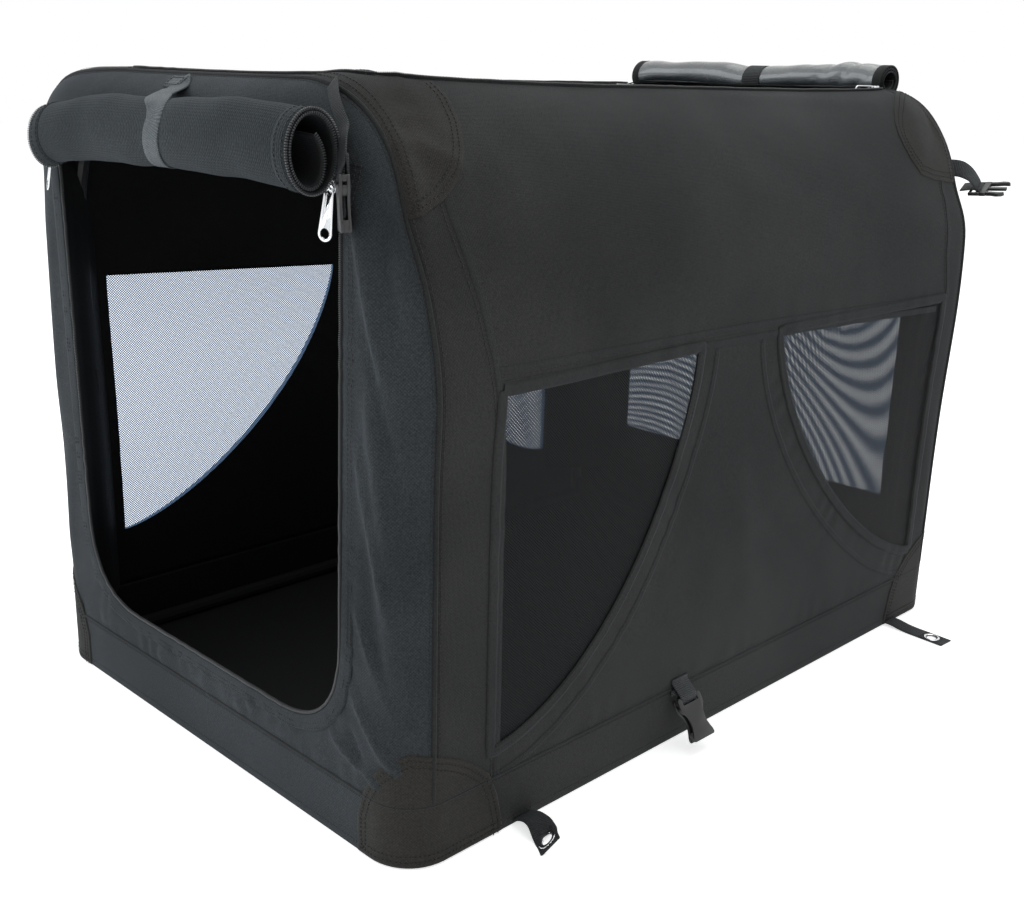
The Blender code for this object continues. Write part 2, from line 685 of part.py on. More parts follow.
def make_hoop(front):
    """Upper hoop of one end: an inverted U with a welded tang at each knee."""
    end = "front" if front else "rear"
    u = HOOP_SETBACK if front else CRATE_LENGTH - HOOP_SETBACK
    out = -1 if front else 1
    pin_u = u + out * KNEE_OFFSET
    low = KNEE_Z + GAP
    corners = [at(LEG_X, u, low), at(LEG_X, u, CROSSBAR_Z), at(-LEG_X, u, CROSSBAR_Z), at(-LEG_X, u, low)]
    hoop = pipe(round_path(corners, HOOP_BEND, 10), TUBE_RADIUS, TUBE_RADIUS - TUBE_WALL)
    half = TANG_THICKNESS / 2
    for sign in (1, -1):
        x = sign * LEG_X
        eye = rod(at(x - half, pin_u, KNEE_Z), at(x + half, pin_u, KNEE_Z), EYE_RADIUS, 20)
        near = pin_u + out * 0.003
        weld = u + out * (TUBE_RADIUS - 0.0010)
        profile = [(near, KNEE_Z + 0.003), (weld, KNEE_Z + 0.003), (weld, KNEE_Z + TANG_LENGTH),
                   (u + out * (TUBE_RADIUS + 0.001), KNEE_Z + TANG_LENGTH), (near, KNEE_Z + 0.012)]
        plate = prism(profile, lambda a, b, c: at(c, a, b), x - half, x + half)
        tang = cut(union(eye, plate), rod(at(x - 0.01, pin_u, KNEE_Z), at(x + 0.01, pin_u, KNEE_Z),
                                          PIN_DIAMETER / 2 + GAP, 20))
        hoop = union(hoop, tang)
    finish("upper_hoop_" + end, hoop, STEEL, 0.45, 0.9, origin=at(0, pin_u, KNEE_Z), smooth=35)


def make_rails():
    """Roof rails, bent out beside the roof opening, and the clamps that turn on the hoops."""
    rear_u = CRATE_LENGTH - HOOP_SETBACK
    for side, sign in SIDES:
        x = sign * CLAMP_X
        start = HOOP_SETBACK + SOCKET_FLOOR + GAP
        stop = rear_u - SOCKET_FLOOR - GAP
        jog_a = HOOP_SETBACK + RAIL_JOG_START
        jog_b = rear_u - RAIL_JOG_START
        out_x = sign * RAIL_X
        low_z = CROSSBAR_Z - RAIL_DROP
        corners = [at(x, start, CROSSBAR_Z), at(x, jog_a, CROSSBAR_Z),
                   at(out_x, jog_a + RAIL_JOG_LENGTH, low_z), at(out_x, jog_b - RAIL_JOG_LENGTH, low_z),
                   at(x, jog_b, CROSSBAR_Z), at(x, stop, CROSSBAR_Z)]
        rail = pipe(round_path(corners, RAIL_BEND, 4), RAIL_RADIUS, RAIL_RADIUS - TUBE_WALL)
        finish("roof_rail_" + side, rail, STEEL, 0.45, 0.9,
               origin=at(0, HOOP_SETBACK, CROSSBAR_Z), smooth=35)
        for end, u, inward in (("front", HOOP_SETBACK, 1), ("rear", rear_u, -1)):
            ring = rod(at(x - CLAMP_WIDTH / 2, u, CROSSBAR_Z), at(x + CLAMP_WIDTH / 2, u, CROSSBAR_Z),
                       CLAMP_RADIUS, 24)
            mouth = u + inward * SOCKET_LENGTH
            socket = rod(at(x, u, CROSSBAR_Z), at(x, mouth, CROSSBAR_Z), RAIL_RADIUS + GAP + CLAMP_WALL, 20)
            hoop_bore = rod(at(x - CLAMP_WIDTH, u, CROSSBAR_Z), at(x + CLAMP_WIDTH, u, CROSSBAR_Z),
                            TUBE_RADIUS + GAP, 24)
            rail_bore = rod(at(x, u + inward * SOCKET_FLOOR, CROSSBAR_Z),
                            at(x, mouth + inward * 0.01, CROSSBAR_Z), RAIL_RADIUS + GAP, 20)
            clamp = cut(union(ring, socket), hoop_bore, rail_bore)
            finish("rail_clamp_%s_%s" % (end, side), clamp, PLASTIC, 0.5, origin=at(x, u, CROSSBAR_Z),
                   smooth=35)


def spiral_section(depth, height, turns, pitch, cloth, hem=0.0):
    """Closed outline of cloth wound inward from the outside, as pairs about the roll's axis."""
    steps = int(turns * ROLL_STEPS_PER_TURN)
    outside = []
    inside = []
    for step in range(steps + 1):
        share = step / steps
        angle = hem + math.tau * turns * share
        draw = pitch * turns * share
        for points, shrink in ((outside, draw), (inside, draw + cloth)):
            points.append(((depth / 2 - shrink) * math.cos(angle), (height / 2 - shrink) * math.sin(angle)))
    return outside + inside[::-1]


def least_gap(section, steps_per_turn, cloth):
    """Least clear distance between one turn and the next, on the section's own points."""
    half = len(section) // 2
    outside = [Vector(p) for p in section[:half]]
    inside = [Vector(p) for p in section[half:][::-1]]
    least = 1.0
    for i, point in enumerate(inside):
        for j in range(i + steps_per_turn // 2, half - 1):
            edge = outside[j + 1] - outside[j]
            share = max(0.0, min(1.0, (point - outside[j]).dot(edge) / edge.length_squared))
            least = min(least, (point - outside[j] - edge * share).length)
    return least


def roof_roll_axis():
    """Height of the roof roll's axis, with the roll resting on the roof's rear edge."""
    return roof_z(0.0, end_draw(ROOF_ROLL_SETBACK)) + GAP + ROOF_ROLL_HEIGHT / 2


def make_rolls():
    """The rolled-up door and the rolled-up roof flap as spirals of cloth."""
    door = spiral_section(DOOR_ROLL_DEPTH, DOOR_ROLL_HEIGHT, DOOR_ROLL_TURNS, DOOR_ROLL_PITCH, DOOR_CLOTH,
                          hem=math.radians(60))
    print("door roll, least gap between turns: %.2f mm" %
          (1000 * least_gap(door, ROLL_STEPS_PER_TURN, DOOR_CLOTH)))
    centre_u = -GAP - DOOR_ROLL_DEPTH / 2
    bm = prism(door, lambda a, b, c: at(c, centre_u + a, DOOR_ROLL_Z + b),
               -DOOR_ROLL_LENGTH / 2, DOOR_ROLL_LENGTH / 2)
    finish("door_roll", bm, MESH_CLOTH, 0.8, origin=at(0, HOOP_SETBACK, CROSSBAR_Z), smooth=35)
    roof = spiral_section(ROOF_ROLL_DEPTH, ROOF_ROLL_HEIGHT, ROOF_ROLL_TURNS, ROOF_ROLL_PITCH, ROOF_CLOTH,
                          hem=math.radians(-90))
    print("roof roll, least gap between turns: %.2f mm" %
          (1000 * least_gap(roof, ROLL_STEPS_PER_TURN, ROOF_CLOTH)))
    roof_u = CRATE_LENGTH - ROOF_ROLL_SETBACK
    roof_axis = roof_roll_axis()
    bm = prism(roof, lambda a, b, c: at(c, roof_u + a, roof_axis + b),
               -ROOF_ROLL_LENGTH / 2, ROOF_ROLL_LENGTH / 2)
    finish("roof_roll", bm, COATED_CLOTH, 0.3, origin=at(0, HOOP_SETBACK, CROSSBAR_Z), smooth=35)


def make_zips():
    """Coil zip round the door on the wall's face, and the one that stands round the roof opening."""
    spread = ZIP_WIDTH / 2
    top = DOOR_HIGH - 0.004
    bend = top - 0.048
    rises = [bend + (top - bend) * step / 6 for step in range(1, 7)]
    line = [(door_side_x(z) + spread, z) for z in reversed(rises)]
    line += door_path(spread, DOOR_RADIUS + spread, bend)
    line += [(-door_side_x(z) - spread, z) for z in rises]
    path = []
    across = []
    flat = [Vector((x, 0, z)) for x, z in line]
    for point, along in zip(flat, tangents(flat)):
        inner_x = max(abs(point.x) - spread, 0.0)
        path.append(at(point.x, surface_u(inner_x, point.z) - GAP - ZIP_THICKNESS / 2, point.z))
        across.append(along.cross(Vector((0, 1, 0))))
    finish("door_zip", ribbon(path, across, ZIP_WIDTH, ZIP_THICKNESS), DARK_CLOTH, 0.6)
    stop = CRATE_LENGTH - ROOF_ZIP_SETBACK
    flat = [Vector((x, u, 0)) for x, u in roof_line(GAP + ZIP_THICKNESS / 2, stop)]
    rings = []
    for point, along in zip(flat, tangents(flat)):
        wide = along.cross(Vector((0, 0, 1))) * ZIP_THICKNESS / 2
        low = roof_z(point.x) - CLOTH
        high = roof_z(point.x) + ROOF_ZIP_RISE
        rings.append([at(point.x + s * wide.x, point.y + s * wide.y, z)
                      for s, z in ((1, low), (-1, low), (-1, high), (1, high))])
    finish("roof_zip", loft(rings), DARK_CLOTH, 0.6, origin=at(0, HOOP_SETBACK, CROSSBAR_Z))


def slider_mesh():
    """Zip slider about its puller's axis: it runs along Z, its pull side is -Y, the bar lies along X."""
    body_back = BRIDGE_RISE / 2 + SLIDER_BODY
    half = SLIDER_LENGTH / 2
    outline = [(SLIDER_WIDTH * 0.5, half), (SLIDER_WIDTH * 0.5, half * 0.3), (SLIDER_WIDTH * 0.36, -half),
               (-SLIDER_WIDTH * 0.36, -half), (-SLIDER_WIDTH * 0.5, half * 0.3), (-SLIDER_WIDTH * 0.5, half)]
    body = prism(outline, lambda a, b, c: Vector((a, c, b)), BRIDGE_RISE / 2, body_back)
    span = SLIDER_LENGTH * 0.38
    rise = BRIDGE_RISE / 2 + BRIDGE_WALL
    arch = [(span, BRIDGE_RISE), (span, -rise * 0.4), (span * 0.72, -rise), (-span * 0.72, -rise),
            (-span, -rise * 0.4), (-span, BRIDGE_RISE), (-span + BRIDGE_WALL, BRIDGE_RISE),
            (-span + BRIDGE_WALL, -rise * 0.3), (-span * 0.6, -rise + BRIDGE_WALL),
            (span * 0.6, -rise + BRIDGE_WALL), (span - BRIDGE_WALL, -rise * 0.3),
            (span - BRIDGE_WALL, BRIDGE_RISE)]
    bridge = prism(arch, lambda a, b, c: Vector((c, b, a)), -BRIDGE_WIDTH / 2, BRIDGE_WIDTH / 2)
    return union(body, bridge)


def puller_mesh():
    """Flat pull tab hanging from its bar at the origin, with an eye slot and a round hole."""
    top = PULLER_BAR / 2 + 0.0008
    low = -PULLER_LENGTH + top
    end_radius = PULLER_WIDTH / 2
    outline = [(-PULLER_NECK / 2 + 0.001, top), (-PULLER_NECK / 2, top - 0.001)]
    steps = 10
    for step in range(steps + 1):
        angle = math.radians(180 + 180 * step / steps)
        outline.append((end_radius * math.cos(angle), low + end_radius + end_radius * math.sin(angle)))
    outline += [(PULLER_NECK / 2, top - 0.001), (PULLER_NECK / 2 - 0.001, top)]
    half = PULLER_THICKNESS / 2
    plate = prism(outline, lambda a, b, c: Vector((a, c, b)), -half, half)
    slot = box((-PULLER_SLOT_WIDTH / 2, -0.01, -PULLER_BAR / 2 - PULLER_SLOT_LENGTH),
               (PULLER_SLOT_WIDTH / 2, 0.01, -PULLER_BAR / 2))
    hole = rod((0, -0.01, low + end_radius), (0, 0.01, low + end_radius), PULLER_HOLE / 2, 16)
    return cut(plate, slot, hole)


def make_sliders():
    """Two sliders with pull tabs on the door zip and two on the roof zip."""
    reach = BRIDGE_RISE / 2 + SLIDER_BODY
    for side, sign in SIDES:
        x = sign * (door_side_x(DOOR_SLIDER_Z) + ZIP_WIDTH / 2)
        pivot = at(x, -ZIP_THICKNESS - 2 * GAP - reach, DOOR_SLIDER_Z)
        upright = Matrix.Identity(4)
        place_fitting("door_slider_" + side, slider_mesh(), pivot, upright, CHROME, 0.25, 1.0)
        place_fitting("door_puller_" + side, puller_mesh(), pivot, upright, CHROME, 0.2, 1.0)
        zip_inner = ROOF_OPENING_WIDTH / 2 - GAP - ZIP_THICKNESS
        roof_x = sign * (zip_inner - GAP - reach)
        u = CRATE_LENGTH - ROOF_SLIDER_SETBACK
        z = roof_z(ROOF_OPENING_WIDTH / 2) + ROOF_ZIP_RISE - SLIDER_WIDTH / 2
        quarter = math.radians(-90 * sign)
        turn = Matrix.Rotation(quarter, 4, "Z") @ Matrix.Rotation(quarter, 4, "Y")
        place_fitting("roof_slider_" + side, slider_mesh(), at(roof_x, u, z), turn, CHROME, 0.25, 1.0)
        place_fitting("roof_puller_" + side, puller_mesh(), at(roof_x, u, z), turn, CHROME, 0.2, 1.0)


def place_fitting(name, bm, pivot, turn, colour, roughness, metallic=0.0):
    """Put a small fitting, modelled about its own pivot, at its place on the crate."""
    bmesh.ops.transform(bm, matrix=Matrix.Translation(pivot) @ turn, verts=bm.verts)
    finish(name, bm, colour, roughness, metallic, origin=pivot, smooth=35)


def make_roll_straps():
    """The strap round the rolled door and the one round the rolled roof flap."""
    lift = GAP + STRAP_THICKNESS / 2 + 0.0003
    semi_u = DOOR_ROLL_DEPTH / 2 + lift
    semi_z = DOOR_ROLL_HEIGHT / 2 + lift
    centre_u = -GAP - DOOR_ROLL_DEPTH / 2
    path = []
    steps = 30
    first, last = 50, 310
    for step in range(steps + 1):
        share = step / steps
        angle = math.radians(first + (last - first) * share)
        path.append(at(STRAP_SLANT * share, centre_u + semi_u * math.cos(angle),
                       DOOR_ROLL_Z + semi_z * math.sin(angle)))
    wall = -GAP - STRAP_THICKNESS / 2
    top_z = path[0].z + 0.012
    face = surface_u(0.0, top_z)
    path.insert(0, at(0.0, face + wall, top_z))
    path.append(at(STRAP_SLANT, wall, path[-1].z - 0.008))
    finish("door_strap", ribbon(path, Vector((1, 0, 0)), STRAP_WIDTH, STRAP_THICKNESS), WEBBING, 0.7,
           origin=at(0, HOOP_SETBACK, CROSSBAR_Z))
    semi_u = ROOF_ROLL_DEPTH / 2 + lift
    semi_z = ROOF_ROLL_HEIGHT / 2 + lift
    roof_u = CRATE_LENGTH - ROOF_ROLL_SETBACK
    roof_axis = roof_roll_axis()
    hem_setback = ROOF_ROLL_SETBACK - ROOF_ROLL_DEPTH * 0.34
    seat_z = roof_z(0.0, end_draw(hem_setback)) + STRAP_THICKNESS
    path = [at(ROOF_STRAP_X, CRATE_LENGTH - hem_setback, seat_z)]
    first, last = -50, 216
    for step in range(steps + 1):
        angle = math.radians(first + (last - first) * step / steps)
        path.append(at(ROOF_STRAP_X, roof_u + semi_u * math.cos(angle),
                       roof_axis + semi_z * math.sin(angle)))
    finish("roof_strap", ribbon(path, Vector((1, 0, 0)), ROOF_STRAP_WIDTH, STRAP_THICKNESS), WEBBING, 0.7,
           origin=at(0, HOOP_SETBACK, CROSSBAR_Z))


def female_buckle_mesh():
    """Socket half of a side-release buckle, hanging from its bar at the origin, flat to -Y."""
    half = BUCKLE_THICKNESS / 2
    top = BUCKLE_BAR / 2
    low = top - BUCKLE_LENGTH
    ear = BUCKLE_WIDTH / 2
    waist = BUCKLE_WAIST / 2
    right = [(ear - 0.002, top), (ear, top - 0.002), (ear, top - 0.014), (waist, top - 0.020),
             (waist - 0.001, top - 0.030), (waist + 0.003, low + 0.006), (ear - 0.001, low + 0.002),
             (ear - 0.003, low)]
    outline = right + [(-a, b) for a, b in reversed(right)]
    body = prism(outline, lambda a, b, c: Vector((a, c, b)), -half, half)
    slot_low = -BUCKLE_BAR / 2 - BUCKLE_WEB_SLOT
    slot = box((-WEBBING_WIDTH / 2 - 0.001, -0.02, slot_low), (WEBBING_WIDTH / 2 + 0.001, 0.02, 0.02))
    socket = box((-BUCKLE_SOCKET_WIDTH / 2, -BUCKLE_SOCKET_HEIGHT / 2, low - 0.01),
                 (BUCKLE_SOCKET_WIDTH / 2, BUCKLE_SOCKET_HEIGHT / 2, low + BUCKLE_SOCKET_DEPTH))
    bar = rod((-ear + 0.001, 0, 0), (ear - 0.001, 0, 0), BUCKLE_BAR / 2, 12)
    return union(cut(body, slot, socket), bar)


def make_side_buckle():
    """Socket buckle and its webbing loop, low on the near side."""
    wall_x = CRATE_WIDTH / 2
    radius = BUCKLE_BAR / 2 + GAP + STRAP_THICKNESS / 2
    half_strap = STRAP_THICKNESS / 2
    pivot = at(wall_x + GAP + STRAP_THICKNESS + GAP + BUCKLE_THICKNESS / 2 + 0.003, SIDE_BUCKLE_U,
               SIDE_BUCKLE_BAR_Z)
    tilt = Matrix.Rotation(math.radians(-SIDE_BUCKLE_TILT), 4, "X")
    hang = Matrix.Rotation(math.radians(90), 4, "Z") @ tilt
    place_fitting("side_buckle", female_buckle_mesh(), pivot, hang, PLASTIC, 0.5)
    wall = wall_x + GAP + half_strap
    across = Vector((0, 1, 0))
    crown = pivot.z + 0.010
    lead = [Vector((wall, pivot.y, pivot.z - 0.004)), Vector((wall, pivot.y, crown - 0.004))]
    lead += [Vector((wall + 0.0016, pivot.y, crown)), Vector((pivot.x - radius, pivot.y, pivot.z + 0.005))]
    arc = []
    steps = 6
    for step in range(steps + 1):
        angle = math.radians(180 + 180 * step / steps)
        arc.append(pivot + Vector((radius * math.cos(angle), 0, radius * math.sin(angle))))
    tail = [Vector((pivot.x + radius - 0.0004, pivot.y, pivot.z + 0.006)),
            Vector((wall + 0.0042, pivot.y, crown + 0.0042))]
    tail.append(Vector((wall, pivot.y, crown + 0.0052)))
    path = lead + arc + tail
    finish("side_buckle_loop", ribbon(path, across, WEBBING_WIDTH, STRAP_THICKNESS), WEBBING, 0.7)


def make_front_strap():
    """Webbing that hangs from the near front roof corner, with a socket buckle on it."""
    pivot = at(FRONT_BUCKLE_X, FRONT_BUCKLE_U, FRONT_BUCKLE_BAR_Z)
    place_fitting("front_buckle", female_buckle_mesh(), pivot, Matrix.Identity(4), PLASTIC, 0.5)
    radius = BUCKLE_BAR / 2 + GAP + STRAP_THICKNESS / 2
    anchor = at(FRONT_STRAP_X, FRONT_STRAP_U, roof_z(FRONT_STRAP_X, end_draw(FRONT_STRAP_U)) + 0.0012)
    run = [anchor, at(FRONT_STRAP_X + 0.022, FRONT_STRAP_U - 0.010, anchor.z - 0.009),
           at(FRONT_BUCKLE_X - 0.017, FRONT_STRAP_U - 0.024, anchor.z - 0.027),
           at(FRONT_BUCKLE_X - 0.005, FRONT_BUCKLE_U + 0.005, FRONT_BUCKLE_BAR_Z + 0.016),
           at(FRONT_BUCKLE_X, FRONT_BUCKLE_U - radius, FRONT_BUCKLE_BAR_Z + 0.004)]
    path = curve_path(run, 5)
    steps = 6
    for step in range(steps + 1):
        angle = math.radians(180 + 180 * step / steps)
        path.append(pivot + Vector((0, radius * math.cos(angle), radius * math.sin(angle))))
    path.append(pivot + Vector((0, radius + 0.0004, 0.012)))
    lie = Vector((0.30, -0.45, 0.85))
    hang = Vector((0, -1, 0))
    across = []
    for i, along in enumerate(tangents(path)):
        facing = lie.lerp(hang, min(1.0, i / 14))
        if i > 20:
            facing = Vector((0, -along.z, along.y)) * -1
        across.append(along.cross(facing))
    finish("front_strap", ribbon(path, across, WEBBING_WIDTH - 0.002, STRAP_THICKNESS), WEBBING, 0.7,
           origin=at(0, HOOP_SETBACK, CROSSBAR_Z))


def make_rear_strap():
    """Stiff webbing that curves out of the rear wall, with the pronged half of a buckle."""
    web_width = WEBBING_WIDTH - 0.002
    seat = surface_u(REAR_STRAP_X - web_width / 2, REAR_STRAP_Z)
    start = at(REAR_STRAP_X, CRATE_LENGTH - seat + GAP, REAR_STRAP_Z)
    bar = at(REAR_STRAP_X + 0.010, CRATE_LENGTH + REAR_STRAP_RUN, REAR_STRAP_Z - REAR_BUCKLE_DIP)
    radius = BUCKLE_BAR / 2 + GAP + STRAP_THICKNESS / 2
    run = [start + Vector((0, 0.004, 0)), at(REAR_STRAP_X + 0.002, CRATE_LENGTH + REAR_STRAP_RUN * 0.35, REAR_STRAP_Z - 0.002),
           at(REAR_STRAP_X + 0.007, CRATE_LENGTH + REAR_STRAP_RUN * 0.75, REAR_STRAP_Z - 0.014),
           bar + Vector((0, -0.002, radius + 0.0008))]
    path = [start] + curve_path(run, 5)
    steps = 6
    for step in range(steps + 1):
        angle = math.radians(80 - 170 * step / steps)
        path.append(bar + Vector((0, radius * math.cos(angle), radius * math.sin(angle))))
    path.append(bar + Vector((0, -0.010, -radius)))
    web = ribbon(path, Vector((1, 0, 0)), web_width, STRAP_THICKNESS)
    finish("rear_strap", web, WEBBING, 0.7, origin=at(0, HOOP_SETBACK, CROSSBAR_Z))
    half = BUCKLE_WIDTH / 2
    inner = WEBBING_WIDTH / 2 + 0.001
    thick = BUCKLE_THICKNESS * 0.35
    base_y = BUCKLE_BAR / 2 + BUCKLE_WEB_SLOT
    frame = [box((-half, -BUCKLE_BAR / 2, -thick), (-inner, base_y + 0.001, thick)),
             box((inner, -BUCKLE_BAR / 2, -thick), (half, base_y + 0.001, thick)),
             rod((-half + 0.001, 0, 0), (half - 0.001, 0, 0), BUCKLE_BAR / 2, 12)]
    base = box((-half, base_y, -thick), (half, base_y + BUCKLE_BAR, thick))
    tip = BUCKLE_BAR + PRONG_LENGTH
    root = base_y + BUCKLE_BAR - 0.001
    prong = box((-0.0022, root, -thick * 0.9), (0.0022, tip * 0.85, thick * 0.9))
    arms = []
    for sign in (1, -1):
        outline = [(sign * (half - 0.002), root), (sign * (half - 0.004), root + (tip - root) * 0.4),
                   (sign * (half + 0.001), root + (tip - root) * 0.6), (sign * (half - 0.006), tip),
                   (sign * (half - 0.008), tip - 0.002), (sign * (half - 0.008), root)]
        arms.append(prism(outline, lambda a, b, c: Vector((a, b, c)), -thick * 0.8, thick * 0.8))
    place_fitting("rear_buckle", union(base, *frame, prong, *arms), bar, Matrix.Identity(4), PLASTIC, 0.5)


def make_tabs():
    """Ground tabs with grommets, two on each long side."""
    for end, u in (("front", TAB_FRONT_U), ("rear", TAB_REAR_U)):
        for side, sign in SIDES:
            edge = CRATE_WIDTH / 2 + GAP
            hinge = at(sign * (edge + TAB_THICKNESS / 2 + GAP), u, TAB_HINGE_Z)
            rest_z = TAB_THICKNESS / 2
            tip = at(sign * (edge + TAB_REACH), u - TAB_SLANT, rest_z)
            path = [at(sign * edge, u, TAB_HINGE_Z), at(sign * (edge + 0.008), u, TAB_HINGE_Z),
                    at(sign * (edge + TAB_REACH * 0.26), u - TAB_SLANT * 0.26, rest_z + 0.0004),
                    at(sign * (edge + TAB_REACH * 0.36), u - TAB_SLANT * 0.36, rest_z), tip]
            web = ribbon(path, Vector((0.0, 1.0, 0.0)), TAB_WIDTH, TAB_THICKNESS)
            share = 1 - GROMMET_FROM_END / TAB_REACH
            eye = at(sign * (edge + TAB_REACH * share), u - TAB_SLANT * share, 0.0)
            ring_outer = GROMMET_BORE / 2 + GROMMET_RIM
            seat = (GROMMET_BORE + GROMMET_RIM) / 2
            web = cut(web, rod(eye - Vector((0, 0, 0.01)), eye + Vector((0, 0, 0.01)), seat + GAP, 20))
            finish("ground_tab_%s_%s" % (end, side), web, WEBBING, 0.75, origin=hinge)
            barrel = rod(eye, eye + Vector((0, 0, TAB_THICKNESS + GAP + 0.0008)), seat, 20)
            rim = rod(eye + Vector((0, 0, TAB_THICKNESS + GAP)),
                      eye + Vector((0, 0, TAB_THICKNESS + GAP + 0.0009)), ring_outer, 20)
            ring = cut(union(barrel, rim), rod(eye - Vector((0, 0, 0.01)), eye + Vector((0, 0, 0.01)),
                                               GROMMET_BORE / 2, 20))
            finish("grommet_%s_%s" % (end, side), ring, CHROME, 0.3, 1.0, origin=hinge, smooth=35)


make_floor()
make_base_frame()
for is_front in (True, False):
    make_legs(is_front)
    make_hoop(is_front)
make_rails()
make_cover()
make_windows()
make_rolls()
make_zips()
make_sliders()
make_roll_straps()
make_side_buckle()
make_front_strap()
make_rear_strap()
make_tabs()
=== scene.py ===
"""Looks of a folding soft dog crate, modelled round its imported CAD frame.

Lengths are in metres. The long side runs along Y, the door end faces -Y and the floor is z = 0.
A distance u runs from the door end towards the rear end.
"""

import json
import logging
import math
from dataclasses import dataclass
from enum import Enum
from typing import Callable, Sequence

import bmesh
import bpy
import numpy as np
from mathutils import Matrix, Vector

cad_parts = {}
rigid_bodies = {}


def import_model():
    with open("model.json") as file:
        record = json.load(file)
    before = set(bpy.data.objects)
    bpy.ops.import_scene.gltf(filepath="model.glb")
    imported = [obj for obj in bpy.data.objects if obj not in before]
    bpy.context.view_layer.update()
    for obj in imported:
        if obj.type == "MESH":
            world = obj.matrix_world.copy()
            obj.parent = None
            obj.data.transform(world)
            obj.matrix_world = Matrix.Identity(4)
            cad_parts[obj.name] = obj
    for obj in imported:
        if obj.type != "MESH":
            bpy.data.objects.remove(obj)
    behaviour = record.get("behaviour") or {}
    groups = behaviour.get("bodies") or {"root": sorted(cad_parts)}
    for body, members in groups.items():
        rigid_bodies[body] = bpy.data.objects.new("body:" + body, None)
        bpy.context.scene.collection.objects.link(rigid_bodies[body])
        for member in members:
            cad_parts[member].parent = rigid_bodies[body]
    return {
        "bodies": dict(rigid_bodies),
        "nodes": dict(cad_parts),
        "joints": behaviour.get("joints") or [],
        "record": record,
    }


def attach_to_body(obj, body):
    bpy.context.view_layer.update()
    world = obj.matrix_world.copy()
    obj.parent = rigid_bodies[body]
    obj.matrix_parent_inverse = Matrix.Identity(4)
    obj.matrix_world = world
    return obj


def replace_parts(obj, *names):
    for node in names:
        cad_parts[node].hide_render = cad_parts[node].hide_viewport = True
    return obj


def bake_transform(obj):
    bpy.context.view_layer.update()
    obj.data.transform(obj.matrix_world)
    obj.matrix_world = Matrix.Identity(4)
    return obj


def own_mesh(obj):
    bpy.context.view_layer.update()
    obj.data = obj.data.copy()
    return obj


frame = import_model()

logging.basicConfig(level=logging.INFO, format="%(message)s")
LOG = logging.getLogger("crate")

Array = np.ndarray
Color = tuple[float, float, float]
Pair = tuple[float, float]
Placer = Callable[[Array, Array, Array], Array]
Bend = Callable[[Array, Array], tuple[Array, Array]]
Shape = bmesh.types.BMesh
Value = float | tuple | bpy.types.NodeSocket
Sockets = Sequence[bpy.types.NodeSocket]


class Body(Enum):
    """Moving bodies of the CAD frame that looks ride on."""

    BASE = "base"
    TOP = "top_frame"
    SIDE_BUCKLE = "side_buckle"
    FRONT_BUCKLE = "front_buckle"
    REAR_BUCKLE = "rear_buckle"
    DOOR_SLIDER_RIGHT = "door_slider_right"
    DOOR_SLIDER_LEFT = "door_slider_left"
    ROOF_SLIDER_RIGHT = "roof_slider_right"
    ROOF_SLIDER_LEFT = "roof_slider_left"
    DOOR_PULLER_RIGHT = "door_puller_right"
    DOOR_PULLER_LEFT = "door_puller_left"
    ROOF_PULLER_RIGHT = "roof_puller_right"
    ROOF_PULLER_LEFT = "roof_puller_left"
    TAB_FRONT_RIGHT = "ground_tab_front_right"
    TAB_FRONT_LEFT = "ground_tab_front_left"
    TAB_REAR_RIGHT = "ground_tab_rear_right"
    TAB_REAR_LEFT = "ground_tab_rear_left"


class Slot(Enum):
    """Material slots of the record."""

    CLOTH = "cloth"
    MESH = "mesh"
    COATED = "coated_cloth"
    WEBBING = "webbing"
    COIL = "zip_coil"
    BOARD = "floor_board"
    STEEL = "steel"
    CHROME = "chrome"
    PLASTIC = "plastic"


class End(Enum):
    """The two end walls, with the way each one faces along Y."""

    FRONT = -1
    REAR = 1


@dataclass(frozen=True)
class CrateSize:
    """Outer sizes of the cover, equal to those of the CAD part."""

    half_width: float = 0.310
    length: float = 0.914
    middle: float = 0.4618
    shoulder_x: float = 0.140
    shoulder_z: float = 0.490
    roof_radius: float = 0.170
    corner: float = 0.045
    band: float = 0.060
    seam_u: float = 0.033
    window_top: float = 0.414

    @property
    def arc(self) -> float:
        """Length of one roof curve."""
        return self.roof_radius * math.pi / 2

    @property
    def girth(self) -> float:
        """Length of the cover outline from floor to floor over the roof."""
        return 2 * (self.shoulder_z + self.arc + self.shoulder_x)

    @property
    def fold_reach(self) -> float:
        """Length of end cloth that turns round the corner up to its seam."""
        return self.corner * math.acos(1 - self.seam_u / self.corner)


SIZE = CrateSize()


# Node graphs


